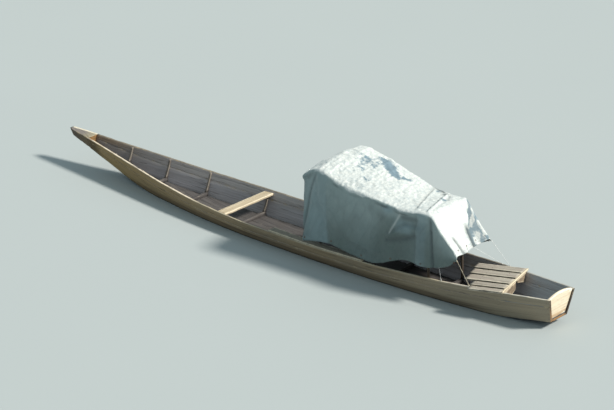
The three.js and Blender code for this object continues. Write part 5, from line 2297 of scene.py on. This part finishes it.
    def _cords(self, sheet: Sheet) -> None:
        """Taut cords from the cloth's aft edge to the gunwales.

        Args:
            sheet: Finished surface of the cloth.
        """
        for side, finish in zip(Side, (self.finishes.cord, self.finishes.pale_cord)):
            node = f"guy_line_{side.label}"
            ends = ring_centres(node, 2)
            foot, head = ends[np.argmin(ends[:, 2])], ends[np.argmax(ends[:, 2])]
            paths = self._tied(head, foot, 0.010, 0.006)
            self._rope(f"guy_cord_{side.label}", paths, finish, self.guy_strand, [node])
        middle = sheet.points[2, sheet.points.shape[1] // 2 - 4]
        near = sheet.points[int(np.argmin(np.abs(sheet.points[:, 2, 0] - self.tie_head_x))), 2]
        paths = []
        for head, x, side in zip((middle, near), self.tie_feet, (-1, 1)):
            foot = np.array([x, side * (Hull.beam(x) - self.tie_inset), Hull.sheer(x) + 0.001])
            paths += self._tied(head, foot, 0.004, 0.004)
        self._rope("thin_ties", paths, self.finishes.pale_cord, self.tie_strand)

    def _tied(self, start: Array, end: Array, start_inset: float, end_inset: float) -> list[Array]:
        """Paths of a taut cord and of the turns that knot both its ends."""
        knots = [self._coil(start, end, start_inset), self._coil(end, start, end_inset)]
        return [np.array([start, end]), *knots]

    def _coil(self, start: Array, toward: Array, inset: float) -> Array:
        """Turns of cord wound round a taut cord near its end, as its knot.

        Args:
            start: The end.
            toward: Its other end.
            inset: How far from the end the turns start.

        Returns:
            Points of the turns.
        """
        way = (toward - start) / np.linalg.norm(toward - start)
        side = np.cross(way, (0.0, 0.0, 1.0))
        side /= np.linalg.norm(side)
        angles = np.linspace(0, TURN * self.turns, 12 * self.turns)[:, None]
        spokes = np.cos(angles) * side + np.sin(angles) * np.cross(side, way)
        return start + way * (inset + 0.0030 * angles / TURN) + 2.6 * self.guy_strand * spokes

    def _stitches(self, sheet: Sheet) -> Piece:
        """Stitches along the hems and across the top.

        Args:
            sheet: Finished surface of the cloth.

        Returns:
            The piece.
        """
        rows, columns = sheet.points.shape[:2]
        hems = ((None, 1), (None, columns - 2), (2, None), (rows - 3, None))
        paths = [sheet.along_hem(row, column, self.hem_lift) for row, column in hems]
        paths.append(sheet.on_top(self.top_seam, 0.01, 0.002))
        mesh = path_mesh("tarpaulin_stitches", paths)
        piece = self.repeats.run(self.repeats.stitches, mesh, self.finishes.thread)
        return place_piece(piece, HULL_BODY)

    def _eyelets(self, sheet: Sheet) -> Piece:
        """Eyelets along the hems.

        Args:
            sheet: Finished surface of the cloth.

        Returns:
            The piece.
        """
        rows, columns = sheet.points.shape[:2]
        along = np.linspace(4, rows - 5, 6).astype(int)
        across = np.linspace(columns * 0.34, columns * 0.66, 4).astype(int)
        cells = [(row, column) for row in along for column in (3, columns - 4)]
        cells += [(4, column) for column in across]
        points = [sheet.points[cell] + 0.0012 * sheet.normals[cell] for cell in cells]
        mesh = point_mesh("tarpaulin_eyelets", points, [sheet.normals[cell] for cell in cells])
        piece = self.repeats.run(self.repeats.rings, mesh, self.finishes.iron)
        return place_piece(piece, HULL_BODY)


@dataclass
class Studio:
    """Camera, lights and floor."""

    camera_place: Point = (-20.723, 23.561, 13.494)
    azimuth: float = 221.20
    elevation: float = 22.50
    lens: float = 172.55
    sensor: float = 36.0
    key_from: Point = (-0.80, -0.42, 0.80)
    key_strength: float = 5.0
    key_angle: float = 9.0
    sky: Colour = (0.55, 0.68, 0.72)
    sky_strength: float = 0.66
    floor_half: float = 90.0

    def build(self) -> None:
        """Builds everything that isn't part of the boat."""
        self._camera()
        self._lights()
        self._floor()

    def _camera(self) -> None:
        """Sets the camera where the photograph was taken from."""
        a, e = math.radians(self.azimuth), math.radians(self.elevation)
        back = Vector((math.sin(a) * math.cos(e), -math.cos(a) * math.cos(e), math.sin(e)))
        right = Vector((math.cos(a), math.sin(a), 0))
        up = back.cross(right)
        data = bpy.data.cameras.new("camera")
        data.lens, data.sensor_width = self.lens, self.sensor
        data.clip_start, data.clip_end = 0.5, 500.0
        camera = new_piece(data)
        turn = Matrix((right, up, back)).transposed().to_4x4()
        camera.matrix_world = Matrix.Translation(self.camera_place) @ turn
        bpy.context.scene.camera = camera

    def _lights(self) -> None:
        """Sets a soft key light from aft and starboard, and an even sky."""
        light = bpy.data.lights.new("key", "SUN")
        light.energy = self.key_strength
        light.angle = math.radians(self.key_angle)
        light.color = (1.0, 0.95, 0.86)
        lamp = new_piece(light)
        lamp.rotation_mode = "QUATERNION"
        lamp.rotation_quaternion = Vector(self.key_from).to_track_quat("Z", "Y")
        world = bpy.data.worlds.new("studio")
        bpy.context.scene.world = world
        world.use_nodes = True
        background = world.node_tree.nodes["Background"]
        background.inputs["Color"].default_value = (*self.sky, 1.0)
        background.inputs["Strength"].default_value = self.sky_strength
        bpy.context.scene.view_settings.view_transform = "Standard"

    def _floor(self) -> None:
        """Builds the floor at the waterline, open where the hull goes through it."""
        xs = [x for x in np.linspace(-3.6, 3.3, 280) if Hull.keel(x) + Hull.bottom_thick / 2 < WATERLINE]
        port = [(x, Hull.outside(x, WATERLINE) - Hull.side_thick / 2) for x in xs]
        ring = port + [(x, -y) for x, y in reversed(port)]
        shape = bmesh.new()
        inner = [shape.verts.new((x, y, WATERLINE)) for x, y in ring]
        loops = [inner]
        middle = (xs[0] + xs[-1]) / 2
        half = (xs[-1] - xs[0]) / 2
        for reach in (0.4, 2.0, 10.0, self.floor_half):
            loop = []
            for x, y in ring:
                angle = math.copysign(math.acos(0.98 * (x - middle) / half), y)
                loop.append(shape.verts.new((middle + math.cos(angle) * (half + reach),
                                             math.sin(angle) * (0.5 + reach), WATERLINE)))
            loops.append(loop)
        for near, far in zip(loops, loops[1:]):
            for i in range(len(near)):
                k = (i + 1) % len(near)
                shape.faces.new((near[i], near[k], far[k], far[i]))
        bmesh.ops.recalc_face_normals(shape, faces=shape.faces)
        mesh = bpy.data.meshes.new("floor")
        shape.to_mesh(mesh)
        shape.free()
        if mesh.polygons[0].normal.z < 0:
            mesh.flip_normals()
        finish_object(mesh, FloorFinish().build(), smooth=False)


def main() -> None:
    """Builds the boat round its frame."""
    logging.basicConfig(level=logging.INFO, format="%(message)s")
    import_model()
    Studio().build()
    finishes = Finishes()
    Planking(finishes).build()
    framing, platform = Framing(finishes), Platform(finishes)
    framing.build()
    platform.build()
    ShelterPoles(finishes).build()
    sheet = Shelter(finishes).build()
    Fastenings(finishes, Repeats(), framing, platform).build(sheet)


if __name__ == "__main__":
    main()
